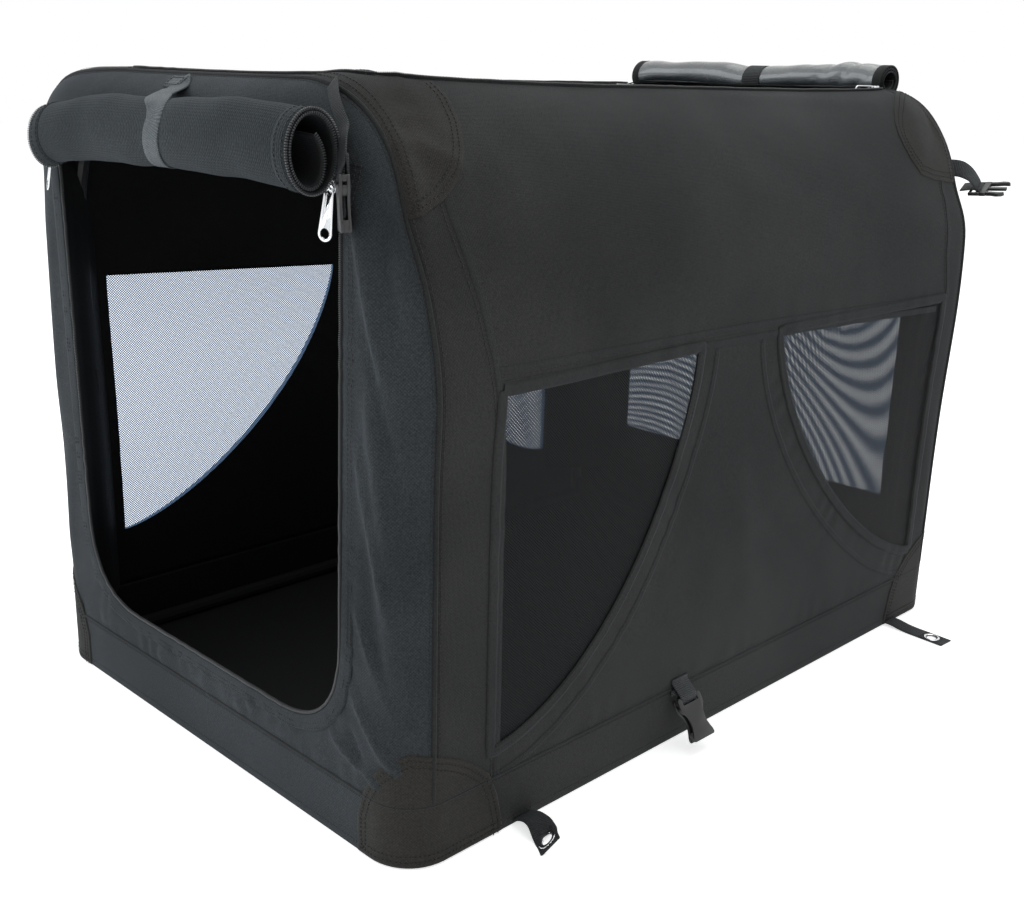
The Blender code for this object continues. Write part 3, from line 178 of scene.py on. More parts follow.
class Graph:
    """Adds nodes to one node tree and links them."""

    def __init__(self, tree: bpy.types.NodeTree) -> None:
        """Keeps the tree."""
        self.tree = tree

    def fill(self, node: bpy.types.Node, inputs: dict) -> None:
        """Gives the inputs of a node their values or links.

        Args:
            node: Node to fill.
            inputs: Socket name or number to a value or an output socket.
        """
        for key, value in inputs.items():
            if isinstance(value, bpy.types.NodeSocket):
                self.tree.links.new(value, node.inputs[key])
            else:
                node.inputs[key].default_value = value

    def add(self, kind: str, inputs: dict | None = None, **settings: object) -> bpy.types.Node:
        """Adds one node.

        Args:
            kind: Node type name.
            inputs: Socket name or number to a value or an output socket.
            settings: Node properties.

        Returns:
            The new node.
        """
        node = self.tree.nodes.new(kind)
        for key, value in settings.items():
            setattr(node, key, value)
        self.fill(node, inputs or {})
        return node

    def math(self, operation: str, *values: Value) -> Value:
        """Adds a math node and returns its output."""
        return self.add("ShaderNodeMath", dict(enumerate(values)), operation=operation).outputs[0]

    def mix(self, factor: Value, first: Value, second: Value) -> Value:
        """Mixes two colours and returns the output."""
        return self.add("ShaderNodeMix", {0: factor, 6: first, 7: second}, data_type="RGBA").outputs[2]

    def noise(self, vector: Value, scale: float, detail: float = 3.0, rough: float = 0.5) -> Value:
        """Adds a noise texture and returns its value."""
        inputs = {"Vector": vector, "Scale": scale, "Detail": detail, "Roughness": rough}
        return self.add("ShaderNodeTexNoise", inputs).outputs[0]

    def ramp(self, value: Value, low: float, high: float, first: float = 0.0, last: float = 1.0) -> Value:
        """Maps a value range smoothly and returns the output."""
        inputs = {"Value": value, 1: low, 2: high, 3: first, 4: last}
        return self.add("ShaderNodeMapRange", inputs, interpolation_type="SMOOTHSTEP").outputs[0]


class Group:
    """An empty shader node group that takes a vector and some numbers and gives numbers."""

    def __init__(self, name: str, numbers: dict[str, float], outputs: Sequence[str]) -> None:
        """Makes the group with its sockets.

        Args:
            name: Name of the group.
            numbers: Input name to its value; a vector input comes first.
            outputs: Names of the outputs.
        """
        self.tree = bpy.data.node_groups.new(name, "ShaderNodeTree")
        self.tree.interface.new_socket("Vector", in_out="INPUT", socket_type="NodeSocketVector")
        for key, value in numbers.items():
            socket = self.tree.interface.new_socket(key, in_out="INPUT", socket_type="NodeSocketFloat")
            socket.default_value = value
        for key in outputs:
            self.tree.interface.new_socket(key, in_out="OUTPUT", socket_type="NodeSocketFloat")
        self.graph = Graph(self.tree)
        self.source = self.graph.add("NodeGroupInput").outputs
        self.sink = self.graph.add("NodeGroupOutput")

    def axes(self) -> Sockets:
        """Adds a node that splits the vector and returns its outputs."""
        return self.graph.add("ShaderNodeSeparateXYZ", {0: self.source["Vector"]}).outputs

    def close(self, **outputs: Value) -> bpy.types.NodeTree:
        """Links the outputs and returns the tree."""
        self.graph.fill(self.sink, outputs)
        return self.tree


def weave_group() -> bpy.types.NodeTree:
    """Plain weave: a height and a thread shade from cloth coordinates in metres."""
    group = Group("Plain weave", {"Pitch": 0.001}, ("Height", "Thread"))
    g = group.graph
    turns = g.math("DIVIDE", math.pi, group.source["Pitch"])
    across, along = (g.math("SINE", g.math("MULTIPLY", axis, turns)) for axis in list(group.axes())[:2])
    height = g.math("ABSOLUTE", g.math("MULTIPLY", across, along))
    thread = g.math("MULTIPLY_ADD", g.math("MULTIPLY", across, along), 0.5, 0.5)
    return group.close(Height=height, Thread=thread)


def wear_group() -> bpy.types.NodeTree:
    """Slow tone change, fine grain and scuff marks from object coordinates."""
    group = Group("Cloth wear", {"Scuffs": 0.3}, ("Tone", "Grain", "Scuff"))
    g, vector = group.graph, group.source["Vector"]
    tone = g.ramp(g.noise(vector, 5.0, 4.0), 0.3, 0.7)
    grain = g.noise(vector, 520.0, 3.0, 0.75)
    streaks = {"Vector": vector, "Scale": (60.0, 34.0, 9.0), "Rotation": (0.5, 0.3, 0.2)}
    stretched = g.add("ShaderNodeMapping", streaks).outputs[0]
    marks = g.ramp(g.noise(stretched, 1.0, 5.0, 0.6), 0.70, 0.80)
    patches = g.ramp(g.noise(vector, 7.0, 2.0), 0.52, 0.66)
    scuff = g.math("MULTIPLY", g.math("MULTIPLY", marks, patches), group.source["Scuffs"])
    return group.close(Tone=tone, Grain=grain, Scuff=scuff)


def knit_group() -> bpy.types.NodeTree:
    """Open knit: staggered round holes in cloth coordinates, 1 on the threads."""
    group = Group("Open knit", {"Width": 0.004, "Height": 0.004, "Close": 0.0}, ("Thread",))
    g, waves = group.graph, []
    for key, axis in zip(("Width", "Height"), group.axes()):
        turns = g.math("DIVIDE", 2 * math.pi, group.source[key])
        waves.append(g.math("COSINE", g.math("MULTIPLY", axis, turns)))
    field = g.math("SUBTRACT", g.math("MULTIPLY", *waves), group.source["Close"])
    return group.close(Thread=g.ramp(field, -0.12, 0.12, 1.0, 0.0))


def rib_group() -> bpy.types.NodeTree:
    """Ribs across a band, from band coordinates in metres, with slight unevenness."""
    group = Group("Ribs", {"Pitch": 0.002}, ("Height",))
    g, axes = group.graph, group.axes()
    turns = g.math("DIVIDE", 2 * math.pi, group.source["Pitch"])
    uneven = g.math("MULTIPLY", g.noise(group.source["Vector"], 120.0), 1.5)
    wave = g.math("SINE", g.math("MULTIPLY_ADD", axes[1], turns, uneven))
    fine = g.math("SINE", g.math("MULTIPLY", axes[0], g.math("MULTIPLY", turns, 1.4)))
    return group.close(Height=g.math("MULTIPLY_ADD", fine, 0.25, g.math("MULTIPLY_ADD", wave, 0.5, 0.5)))


# Finishes


@dataclass(frozen=True)
class ClothFinish:
    """Look of one woven cloth."""

    name: str
    dark: Color
    light: Color
    pitch: float = 0.0014
    relief: float = 0.0003
    rough: float = 0.82
    sheen: float = 0.06
    scuffs: float = 0.3
    ribbed: bool = False
    coat: float = 0.0
    specular: float = 0.22
    grain: float = 1.0


@dataclass(frozen=True)
class HardFinish:
    """Look of one metal or plastic."""

    name: str
    color: Color
    rough: float
    metallic: float = 0.0
    spots: float = 0.15
    specular: float = 0.5


@dataclass(frozen=True)
class KnitFinish:
    """Look of one see-through knit."""

    name: str
    color: Color
    width: float = 0.0029
    height: float = 0.0031
    # Bluish glow of the inner face: painted backlight shining through the threads.
    glow: Color = (0.085, 0.14, 0.235)


Finish = ClothFinish | HardFinish | KnitFinish

SIDE_CLOTH = ClothFinish("Cover cloth", (0.0120, 0.0122, 0.0117), (0.0190, 0.0191, 0.0181))
# A lighter, bluer copy of the cover cloth for the front wall, the door hem and the front of the band: painted
# light where the front end faces the key light.
LIT_FRONT_CLOTH = ClothFinish("Front cloth with painted light", (0.0162, 0.0194, 0.0215), (0.0248, 0.0297, 0.0333), scuffs=0.12)
PATCH_CLOTH = ClothFinish("Patch cloth", (0.0158, 0.0146, 0.0126), (0.0245, 0.0225, 0.0192), scuffs=0.25)
LINING = ClothFinish(
    "Lining", (0.0020, 0.0020, 0.0020), (0.0036, 0.0035, 0.0034),
    rough=0.6, sheen=0.01, scuffs=0.0, specular=0.08,
)
HEM_CLOTH = ClothFinish(
    "Hem cloth", (0.0115, 0.0118, 0.0118), (0.0175, 0.0178, 0.0174), pitch=0.0012, scuffs=0.1
)
ROLL_CLOTH = ClothFinish(
    "Door cloth", (0.0130, 0.0168, 0.0188), (0.0215, 0.0265, 0.0292), pitch=0.0026, relief=0.0006
)
# Dark cloth for the back face of the rolled flaps, and for the outer face of their inner windings as painted
# shade inside the roll.
ROLL_BACK_AND_SHADE = ClothFinish("Roll back face and painted shade", (0.004, 0.004, 0.004), (0.008, 0.008, 0.008), rough=0.6, scuffs=0.0)
COATED = ClothFinish(
    "Coated cloth", (0.022, 0.029, 0.034), (0.036, 0.046, 0.053),
    rough=0.24, sheen=0.0, scuffs=0.5, coat=0.9, specular=0.9, grain=0.3,
)
WEBBING = ClothFinish(
    "Webbing", (0.022, 0.024, 0.025), (0.042, 0.046, 0.048),
    pitch=0.0021, relief=0.0008, rough=0.6, ribbed=True,
)
PALE_WEBBING = ClothFinish(
    "Pale webbing", (0.060, 0.071, 0.077), (0.092, 0.108, 0.115),
    pitch=0.0021, relief=0.0008, rough=0.5, ribbed=True,
)
THREAD = HardFinish("Thread", (0.0105, 0.0105, 0.0105), 0.7)
COIL = HardFinish("Coil", (0.030, 0.032, 0.034), 0.32, spots=0.4)
STEEL = HardFinish("Black steel", (0.012, 0.012, 0.013), 0.42, spots=0.3)
SLEEVED = HardFinish("Sleeved tube", (0.0045, 0.0045, 0.0045), 0.8, spots=0.0, specular=0.1)
CHROME = HardFinish("Chrome", (0.80, 0.81, 0.83), 0.13, metallic=1.0)
PLASTIC = HardFinish("Black plastic", (0.017, 0.017, 0.018), 0.40, spots=0.35)
BOARD = HardFinish("Floor board", (0.0040, 0.0040, 0.0040), 0.7, specular=0.15)
KNIT = KnitFinish("Window knit", (0.0075, 0.0082, 0.0090))
SHEEN_TINT: Color = (0.75, 0.85, 1.0)
SCUFF_COLOR: Color = (0.085, 0.088, 0.09)


def rgba(color: Color, share: float = 1.0) -> tuple[float, float, float, float]:
    """A colour times a share, with full alpha."""
    return (*(share * c for c in color), 1.0)


class MaterialShop:
    """Makes each material once and hands it out by finish."""

    def __init__(self) -> None:
        """Makes the node groups that the materials share."""
        self.weave = weave_group()
        self.wear = wear_group()
        self.knit = knit_group()
        self.ribs = rib_group()
        self.made: dict[str, bpy.types.Material] = {}

    def get(self, finish: Finish) -> bpy.types.Material:
        """Makes the material of a finish on first use.

        Args:
            finish: Finish of a cloth, a knit or a hard piece.

        Returns:
            The material.
        """
        if finish.name not in self.made:
            material = bpy.data.materials.new(finish.name)
            material.use_nodes = True
            material.node_tree.nodes.clear()
            graph = Graph(material.node_tree)
            shader = graph.add("ShaderNodeBsdfPrincipled")
            graph.add("ShaderNodeOutputMaterial", {0: shader.outputs[0]})
            build = {ClothFinish: self._cloth, KnitFinish: self._knit, HardFinish: self._hard}[type(finish)]
            graph.fill(shader, build(graph, finish))
            self.made[finish.name] = material
        return self.made[finish.name]

    def _own(self, graph: Graph, tree: bpy.types.NodeTree, **numbers: Value) -> Sockets:
        """Adds a pattern group that reads the cloth coordinates and returns its outputs."""
        place = graph.add("ShaderNodeUVMap", uv_map="Cloth").outputs[0]
        return graph.add("ShaderNodeGroup", {"Vector": place, **numbers}, node_tree=tree).outputs

    def _worn(self, graph: Graph, scuffs: float) -> Sockets:
        """Adds the wear group, read at object coordinates, and returns its outputs."""
        place = graph.add("ShaderNodeTexCoord").outputs["Object"]
        return graph.add("ShaderNodeGroup", {"Vector": place, "Scuffs": scuffs}, node_tree=self.wear).outputs

    def _bump(self, graph: Graph, strength: float, distance: float, height: Value) -> Value:
        """Adds a bump node and returns its normal."""
        inputs = {"Strength": strength, "Distance": distance, "Height": height}
        return graph.add("ShaderNodeBump", inputs).outputs[0]

    def _cloth(self, graph: Graph, finish: ClothFinish) -> dict:
        """Shader inputs of a woven or ribbed cloth.

        Args:
            graph: Graph of the material.
            finish: Look of the cloth.

        Returns:
            Input name to its value or link.
        """
        wear = self._worn(graph, finish.scuffs)
        if finish.ribbed:
            height = self._own(graph, self.ribs, Pitch=finish.pitch)["Height"]
            shade = graph.math("MULTIPLY_ADD", height, 0.55, 0.6)
        else:
            weave = self._own(graph, self.weave, Pitch=finish.pitch)
            height = weave["Height"]
            shade = graph.math("MULTIPLY_ADD", weave["Thread"], 0.60, 0.70)
        grain = graph.math("MULTIPLY_ADD", wear["Grain"], 2.6 * finish.grain, 1 - 1.3 * finish.grain)
        tone = graph.mix(wear["Tone"], rgba(finish.dark), rgba(finish.light))
        strength = graph.math("MULTIPLY", shade, grain)
        toned = graph.add("ShaderNodeVectorMath", {0: tone, 3: strength}, operation="SCALE").outputs[0]
        relief = graph.math("MULTIPLY_ADD", wear["Grain"], 0.7 * finish.grain, height)
        return {
            "Base Color": graph.mix(wear["Scuff"], toned, rgba(SCUFF_COLOR)),
            "Roughness": graph.math("MULTIPLY_ADD", wear["Tone"], -0.08, finish.rough + 0.04),
            "Normal": self._bump(graph, 0.7, finish.relief, relief),
            "Specular IOR Level": finish.specular,
            "Sheen Weight": finish.sheen,
            "Sheen Roughness": 0.45,
            "Sheen Tint": rgba(SHEEN_TINT),
            "Coat Weight": finish.coat,
            "Coat Roughness": 0.14,
        }

    def _knit(self, graph: Graph, finish: KnitFinish) -> dict:
        """Shader inputs of an open knit, whose holes close as it turns away and whose inner face glows bluish
        as painted backlight.

        Args:
            graph: Graph of the material.
            finish: Look of the knit.

        Returns:
            Input name to its value or link.
        """
        facing = graph.add("ShaderNodeLayerWeight", {"Blend": 0.5}).outputs["Facing"]
        close = graph.math("MULTIPLY_ADD", facing, 0.70, 0.205)
        thread = self._own(graph, self.knit, Width=finish.width, Height=finish.height, Close=close)["Thread"]
        tone = self._worn(graph, 0.0)["Tone"]
        inner = graph.add("ShaderNodeNewGeometry").outputs["Backfacing"]
        return {
            "Base Color": graph.mix(tone, rgba(finish.color, 0.75), rgba(finish.color)),
            "Alpha": thread,
            "Normal": self._bump(graph, 0.6, 0.0004, thread),
            "Roughness": 0.6,
            "Specular IOR Level": 0.1,
            # The inner face glows bluish: painted backlight.
            "Emission Color": graph.mix(inner, (0.0, 0.0, 0.0, 1.0), rgba(finish.glow)),
            "Emission Strength": 1.0,
        }

    def _hard(self, graph: Graph, finish: HardFinish) -> dict:
        """Shader inputs of a metal or a plastic.

        Args:
            graph: Graph of the material.
            finish: Look of the material.

        Returns:
            Input name to its value or link.
        """
        wear = self._worn(graph, finish.spots)
        tone = graph.mix(wear["Tone"], rgba(finish.color, 0.82), rgba(finish.color))
        pale = tuple(min(1.0, 1.6 * c + 0.01) for c in finish.color)
        return {
            "Base Color": graph.mix(wear["Scuff"], tone, rgba(pale)),
            "Roughness": graph.math("MULTIPLY_ADD", wear["Grain"], 0.16, finish.rough - 0.08),
            "Normal": self._bump(graph, 0.25, 0.0001, wear["Grain"]),
            "Metallic": finish.metallic,
            "Specular IOR Level": finish.specular,
        }


SHOP = MaterialShop()


# Surfaces


@dataclass(frozen=True)
class Pucker:
    """Small folds that start at a seam drawn on the cloth and fade away from it."""

    path: Array
    height: float
    pitch: float
    reach: float
    seed: float = 0.0


@dataclass(frozen=True)
class Fold:
    """One soft fold or dent along a line drawn on the cloth."""

    start: tuple[float, float]
    end: tuple[float, float]
    width: float
    height: float


def along_path(path: Array, p: Array, q: Array) -> tuple[Array, Array]:
    """Distance to a polyline and the distance along it, for many points.

    Args:
        path: Points of the polyline.
        p: First cloth coordinates.
        q: Second cloth coordinates.

    Returns:
        Distances to the line and along the line.
    """
    best = np.full(p.shape, 1e9)
    run = np.zeros(p.shape)
    travelled = 0.0
    for a, b in zip(path[:-1], path[1:]):
        step = b - a
        size = float(np.hypot(*step))
        if size < 1e-9:
            continue
        t = np.clip(((p - a[0]) * step[0] + (q - a[1]) * step[1]) / size**2, 0, 1)
        gap = np.hypot(p - a[0] - t * step[0], q - a[1] - t * step[1])
        closer = gap < best
        best = np.where(closer, gap, best)
        run = np.where(closer, travelled + t * size, run)
        travelled += size
    return best, run


def smooth(value: Array, low: float, high: float) -> Array:
    """Smooth step from 0 at low to 1 at high."""
    t = np.clip((value - low) / (high - low), 0, 1)
    return t * t * (3 - 2 * t)


CREST = np.array([
    (0.03, -0.001), (0.05, 0.007), (0.08, 0.0135), (0.14, 0.0118), (0.32, 0.0072), (0.85, 0.0072),
])


def swell(value: Array, centre: float, width: float) -> Array:
    """A smooth rise of 1 round a centre."""
    return np.exp(-(((value - centre) / width) ** 2))


def fullness(point: Array) -> Array:
    """Slow fullness of the stretched cover over its even outline.

    The photo shows the near shoulder pulled in, its roof edge standing full, the wall full below the
    shoulder, and a fuller far shoulder at the door end.

    Args:
        point: Places on the even outline.

    Returns:
        Offsets along the outward direction.
    """
    z = SIZE
    u = point[..., 1] + z.middle
    height = point[..., 2] - z.shoulder_z
    over = np.abs(point[..., 0]) - z.shoulder_x
    round_turn = np.arctan2(height, np.maximum(over, 1e-6))
    turn = np.degrees(np.where(height > 0, round_turn, height / z.roof_radius))
    near = smooth(point[..., 0], 0.02, 0.18)
    far = smooth(-point[..., 0], 0.02, 0.18)

    front, rear = 1 - smooth(u, 0.05, 0.45), smooth(u, 0.66, 0.88)
    pull = 0.006 - 0.003 * smooth(u, 0.05, 0.15) + 0.008 * (1 - smooth(u, 0.034, 0.042)) - 0.003 * rear
    low = swell(height, -0.06, 0.055) * 0.006 * front + swell(height, -0.065, 0.12) * 0.006 * rear
    crest_at, crest_height = CREST.T
    roof_edge = np.interp(u, crest_at, crest_height) * swell(turn, 73, 15) * (1 - rear)
    lean = (0.011 * swell(turn, 60, 18) - 0.007 * swell(turn, 20, 12)) * rear
    near_offset = low - pull * swell(turn, 31, 18) + roof_edge + lean
    far_offset = (0.018 + 0.018 * front) * swell(turn, 46, 22) + 0.006 * swell(height, -0.065, 0.12)
    return near * near_offset + far * far_offset


LEAD_HEIGHT = 0.0140
LEAD_Z = 0.545


def lead(point: Array) -> Array:
    """How far the near front corner stands forward, most at its seam below the shoulder.

    Args:
        point: Places on the cover, the last axis is x, y and z.

    Returns:
        One distance for each place.
    """
    u, z = point[..., 1] + SIZE.middle, point[..., 2]
    height = LEAD_HEIGHT * np.exp(-(((z - LEAD_Z) / np.where(z < LEAD_Z, 0.078, 0.056)) ** 2))
    along = smooth(u, 0.0, 0.0335) * (1 - smooth(u, 0.040, 0.10))
    return height * along * smooth(point[..., 0], 0.10, 0.22)


class Surface:
    """A cloth surface that maps flat cloth coordinates to its place on the crate."""

    def __init__(self) -> None:
        """Starts without wrinkles."""
        self.puckers: list[Pucker] = []
        self.folds: list[Fold] = []

    def relief(self, p: Array, q: Array) -> Array:
        """Height of wrinkles over the even surface.

        Args:
            p: First cloth coordinates.
            q: Second cloth coordinates.

        Returns:
            One height for each point.
        """
        height = np.zeros(p.shape)
        for pucker in self.puckers:
            gap, run = along_path(pucker.path, p, q)
            phase = 2 * math.pi * run / pucker.pitch
            wave = np.sin(phase + 1.7 * np.sin(0.31 * phase + pucker.seed) + pucker.seed)
            wave = wave * (0.6 + 0.4 * np.sin(0.17 * phase + 2 * pucker.seed))
            height += pucker.height * wave * np.exp(-((gap / pucker.reach) ** 1.5))
        for fold in self.folds:
            gap, run = along_path(np.array([fold.start, fold.end]), p, q)
            length = math.dist(fold.start, fold.end)
            ends = smooth(run, 0.0, 0.3 * length) * smooth(length - run, 0.0, 0.3 * length)
            height += fold.height * np.exp(-((gap / fold.width) ** 2)) * ends
        return height

    def base(self, p: Array, q: Array) -> tuple[Array, Array]:
        """Places and outward directions on the even surface.

        Args:
            p: First cloth coordinates.
            q: Second cloth coordinates.

        Returns:
            One place and one unit direction for each point.
        """
        raise NotImplementedError

    def fade(self, p: Array, q: Array) -> Array:
        """Share of the wrinkles kept near the seams to the next panels."""
        return np.ones(p.shape)

    def place(self, p: Array, q: Array, h: Array) -> Array:
        """Places of cloth points.

        Args:
            p: First cloth coordinates.
            q: Second cloth coordinates.
            h: Heights over the cloth.

        Returns:
            One row of x, y, z for each point.
        """
        p, q, h = np.broadcast_arrays(np.asarray(p, float), np.asarray(q, float), np.asarray(h, float))
        point, normal = self.base(p, q)
        lift = h + self.relief(p, q) * self.fade(p, q)
        return point + normal * lift[..., None]


class SideSurface(Surface):
    """The long cover: p runs up the near wall, over the roof and down, q is the distance u."""

    def base(self, p: Array, q: Array) -> tuple[Array, Array]:
        """Places and outward directions on both walls and the roof.

        Args:
            p: First cloth coordinates.
            q: Second cloth coordinates.

        Returns:
            One place and one unit direction for each point.
        """
        z = SIZE
        end = np.minimum(q, z.length - q)
        k = np.clip((z.corner - end) / z.corner, 0, 0.9999)
        level = np.sqrt(1 - k * k)
        inset = z.corner * (1 - level)
        far = p > z.girth / 2
        t = np.where(far, z.girth - p, p)
        lift = np.interp(q, (0.08, 0.40, 0.50), (0.020, 0.006, 0.0))
        rise = lift * smooth(t, z.band, 0.10) * (1 - smooth(t, 0.43, 0.56))
        t = t + np.where(far, rise, 0.0)
        angle = np.clip((t - z.shoulder_z) / z.roof_radius, 0, math.pi / 2)
        radius = z.roof_radius - inset
        x = z.shoulder_x + radius * np.cos(angle) - np.clip(t - z.shoulder_z - z.arc, 0, None)
        height = np.where(t < z.shoulder_z, t, z.shoulder_z + radius * np.sin(angle))
        side = np.where(far, -1.0, 1.0)
        way = np.where(q < z.length / 2, -1.0, 1.0)
        point = np.stack([x * side, q - z.middle, height], -1)
        normal = np.stack([np.cos(angle) * level * side, k * way, np.sin(angle) * level], -1)
        swollen = self.hang(t, q) + fullness(point) * level**2
        point[..., 1] -= lead(point)
        return point + normal * swollen[..., None], normal

    def hang(self, t: Array, q: Array) -> Array:
        """Slow sag and fullness of the long walls and the roof.

        Args:
            t: Turns along the section.
            q: Distances from the front.

        Returns:
            One height for each point.
        """
        z = SIZE
        middle = np.sin(math.pi * np.clip(q / z.length, 0, 1)) ** 1.5
        wall = np.sin(math.pi * np.clip((t - z.band) / (z.shoulder_z - z.band), 0, 1)) ** 2
        roof = smooth(t, z.shoulder_z + 0.5 * z.arc, z.shoulder_z + z.arc + 0.08)
        return -0.004 * middle * wall - 0.005 * middle * roof

    def fade(self, p: Array, q: Array) -> Array:
        """Share of the wrinkles kept near the end seams and the band.

        Args:
            p: First cloth coordinates.
            q: Second cloth coordinates.

        Returns:
            One share from 0 to 1 for each point.
        """
        z = SIZE
        ends = smooth(np.minimum(q, z.length - q), z.seam_u, z.seam_u + 0.012)
        foot = smooth(np.minimum(p, z.girth - p), z.band, z.band + 0.012)
        return ends * foot


class EndSurface(Surface):
    """An end wall with its turned edges: p is x and q is height, drawn flat."""

    def __init__(self, end: End) -> None:
        """Keeps which end it is."""
        super().__init__()
        self.end = end

    def base(self, p: Array, q: Array) -> tuple[Array, Array]:
        """Places and outward directions on the flat wall and its turned edges.

        Args:
            p: First cloth coordinates.
            q: Second cloth coordinates.

        Returns:
            One place and one unit direction for each point.
        """
        z = SIZE
        half = z.half_width - z.corner
        radius = z.roof_radius - z.corner
        over_x = np.abs(p) - z.shoulder_x
        over_z = q - z.shoulder_z
        side = np.where(p < 0, -1.0, 1.0)
        low = over_z <= 0
        flat = (over_x <= 0) & ~low
        away = np.hypot(np.clip(over_x, 0, None), np.clip(over_z, 0, None)) + 1e-12
        nx = np.where(low, 1.0, np.where(flat, 0.0, np.clip(over_x, 0, None) / away))
        nz = np.where(low, 0.0, np.where(flat, 1.0, np.clip(over_z, 0, None) / away))
        reach = np.where(low, np.abs(p) - half, np.where(flat, over_z, away) - radius)
        t = np.clip(reach, 0, None)
        turn = t / z.corner
        shift = z.corner * np.sin(turn) - t
        u = z.corner * (1 - np.cos(turn))
        x = p + side * nx * shift
        y = self.end.value * (0.5 * z.length - u) + 0.5 * z.length - z.middle
        point = np.stack([x, y, q + nz * shift], -1)
        normal = np.stack([side * nx * np.sin(turn), self.end.value * np.cos(turn), nz * np.sin(turn)], -1)
        normal = normal / np.linalg.norm(normal, axis=-1, keepdims=True)
        swollen = fullness(point) * np.sin(turn) ** 2
        point[..., 1] -= lead(point)
        return point + normal * swollen[..., None], normal

    def fade(self, p: Array, q: Array) -> Array:
        """Share of the wrinkles kept near the corner seams and the band.

        Args:
            p: First cloth coordinates.
            q: Second cloth coordinates.

        Returns:
            One share from 0 to 1 for each point.
        """
        z = SIZE
        reach = z.corner - z.fold_reach
        half = z.half_width - reach
        over = np.hypot(np.clip(np.abs(p) - z.shoulder_x, 0, None), np.clip(q - z.shoulder_z, 0, None))
        edge = np.where(q > z.shoulder_z, z.roof_radius - reach - over, half - np.abs(p))
        return smooth(edge, 0.0, 0.012) * smooth(q, z.band, z.band + 0.012)


class BandSurface(Surface):
    """The lower band: p runs round the plan from the middle of the door end, q is height."""

    @property
    def girth(self) -> float:
        """Length round the plan."""
        z = SIZE
        return 2 * (2 * z.half_width + z.length) - (8 - 2 * math.pi) * z.corner

    def base(self, p: Array, q: Array) -> tuple[Array, Array]:
        """Places and outward directions on the strip round the foot.

        Args:
            p: First cloth coordinates.
            q: Second cloth coordinates.

        Returns:
            One place and one unit direction for each point.
        """
        z = SIZE
        half_x, half_y, r = z.half_width, 0.5 * z.length, z.corner
        centre_y = half_y - z.middle
        front, side = half_x - r, 2 * (half_y - r)
        quarter = r * math.pi / 2
        half = self.girth / 2
        lap = np.mod(p, self.girth)
        mirrored = lap > half
        t = np.where(mirrored, self.girth - lap, lap)
        first = np.clip((t - front) / r, 0, math.pi / 2)
        second = np.clip((t - front - quarter - side) / r, 0, math.pi / 2)
        x = np.clip(t, 0, front) + r * np.sin(first) - r * (1 - np.cos(second))
        x = x - np.clip(t - front - 2 * quarter - side, 0, None)
        y = -half_y + r * (1 - np.cos(first)) + np.clip(t - front - quarter, 0, side) + r * np.sin(second)
        angle = first + second
        sign = np.where(mirrored, -1.0, 1.0)
        point = np.stack([x * sign, y + centre_y, q], -1)
        normal = np.stack([np.sin(angle) * sign, -np.cos(angle), np.zeros(p.shape)], -1)
        return point, normal

    def fade(self, p: Array, q: Array) -> Array:
        """Share of the wrinkles kept near the floor."""
        return smooth(q, 0.002, 0.012)


# Mesh operators


@dataclass(frozen=True)
class Cloth:
    """Finish, lining and thickness of a cloth piece built flat and bent to its place."""

    finish: ClothFinish | KnitFinish
    lining: ClothFinish | None = None
    thickness: float = 0.0


def new_object(name: str, data: bpy.types.ID) -> bpy.types.Object:
    """Makes an object of some data and puts it in the scene."""
    made = bpy.data.objects.new(name, data)
    bpy.context.scene.collection.objects.link(made)
    return made


def to_mesh(bm: Shape, name: str) -> bpy.types.Mesh:
    """Turns a bmesh into a mesh and frees it.

    Args:
        bm: Shape, freed here.
        name: Name of the mesh.

    Returns:
        The mesh.
    """
    mesh = bpy.data.meshes.new(name)
    bm.to_mesh(mesh)
    bm.free()
    return mesh


def finish_piece(
    bm: Shape, name: str, materials: Sequence[Finish], body: Body, soft: bool = True
) -> bpy.types.Object:
    """Turns a bmesh into a smooth object that rides a body.

    Args:
        bm: Finished geometry, freed here.
        name: Name of the object.
        materials: Finishes, in face index order.
        body: Body that the piece rides.
        soft: Whether a piece on the base body is marked soft, which gives it its own copy of its mesh when
            attached.

    Returns:
        The new object.
    """
    for face in bm.faces:
        face.smooth = True
    mesh = to_mesh(bm, name)
    piece = new_object(name, mesh)
    for item in materials:
        mesh.materials.append(SHOP.get(item))
    piece["soft"] = bool(soft and body is Body.BASE)
    piece["rides"] = body.value
    LOG.info("%s: %d faces", name, len(mesh.polygons))
    return piece


def attach(piece: bpy.types.Object) -> None:
    """Lets a piece ride its body and gives it its own copy of its mesh where it is soft."""
    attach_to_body(piece, piece["rides"])
    if piece["soft"]:
        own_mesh(piece)


TOUCH = 1e-7


def split_flat(bm: bmesh.types.BMesh, outline: Array, inside: bool) -> None:
    """Cuts a convex outline into flat cloth and keeps one side of it.

    Args:
        bm: Flat cloth in the plane z = 0.
        outline: Corners, counter-clockwise.
        inside: Whether the part inside the outline is kept.
    """
    held = list(bm.faces)
    for a, b in zip(outline, np.roll(outline, -1, axis=0)):
        step = b - a
        size = float(np.hypot(*step))
        if size < TOUCH:
            continue
        away = Vector((step[1] / size, -step[0] / size, 0))
        origin = Vector((a[0], a[1], 0))
        near, rest = [], []
        for face in held:
            sides = [(v.co - origin).dot(away) for v in face.verts]
            if min(sides) < -TOUCH and max(sides) > TOUCH:
                near.append(face)
            elif max(sides) <= TOUCH:
                rest.append(face)
        edges = {e for f in near for e in f.edges}
        verts = {v for f in near for v in f.verts}
        geometry = [*near, *edges, *verts]
        if geometry:
            cut = bmesh.ops.bisect_plane(bm, geom=geometry, dist=TOUCH, plane_co=origin, plane_no=away)
            pieces = {g for g in cut["geom"] if isinstance(g, bmesh.types.BMFace)}
            pieces |= {f for f in near if f.is_valid}
            rest += [f for f in pieces if (f.calc_center_median() - origin).dot(away) < 0]
        held = rest
    kept = set(held)
    doomed = [f for f in bm.faces if (f in kept) != inside]
    bmesh.ops.delete(bm, geom=doomed, context="FACES")


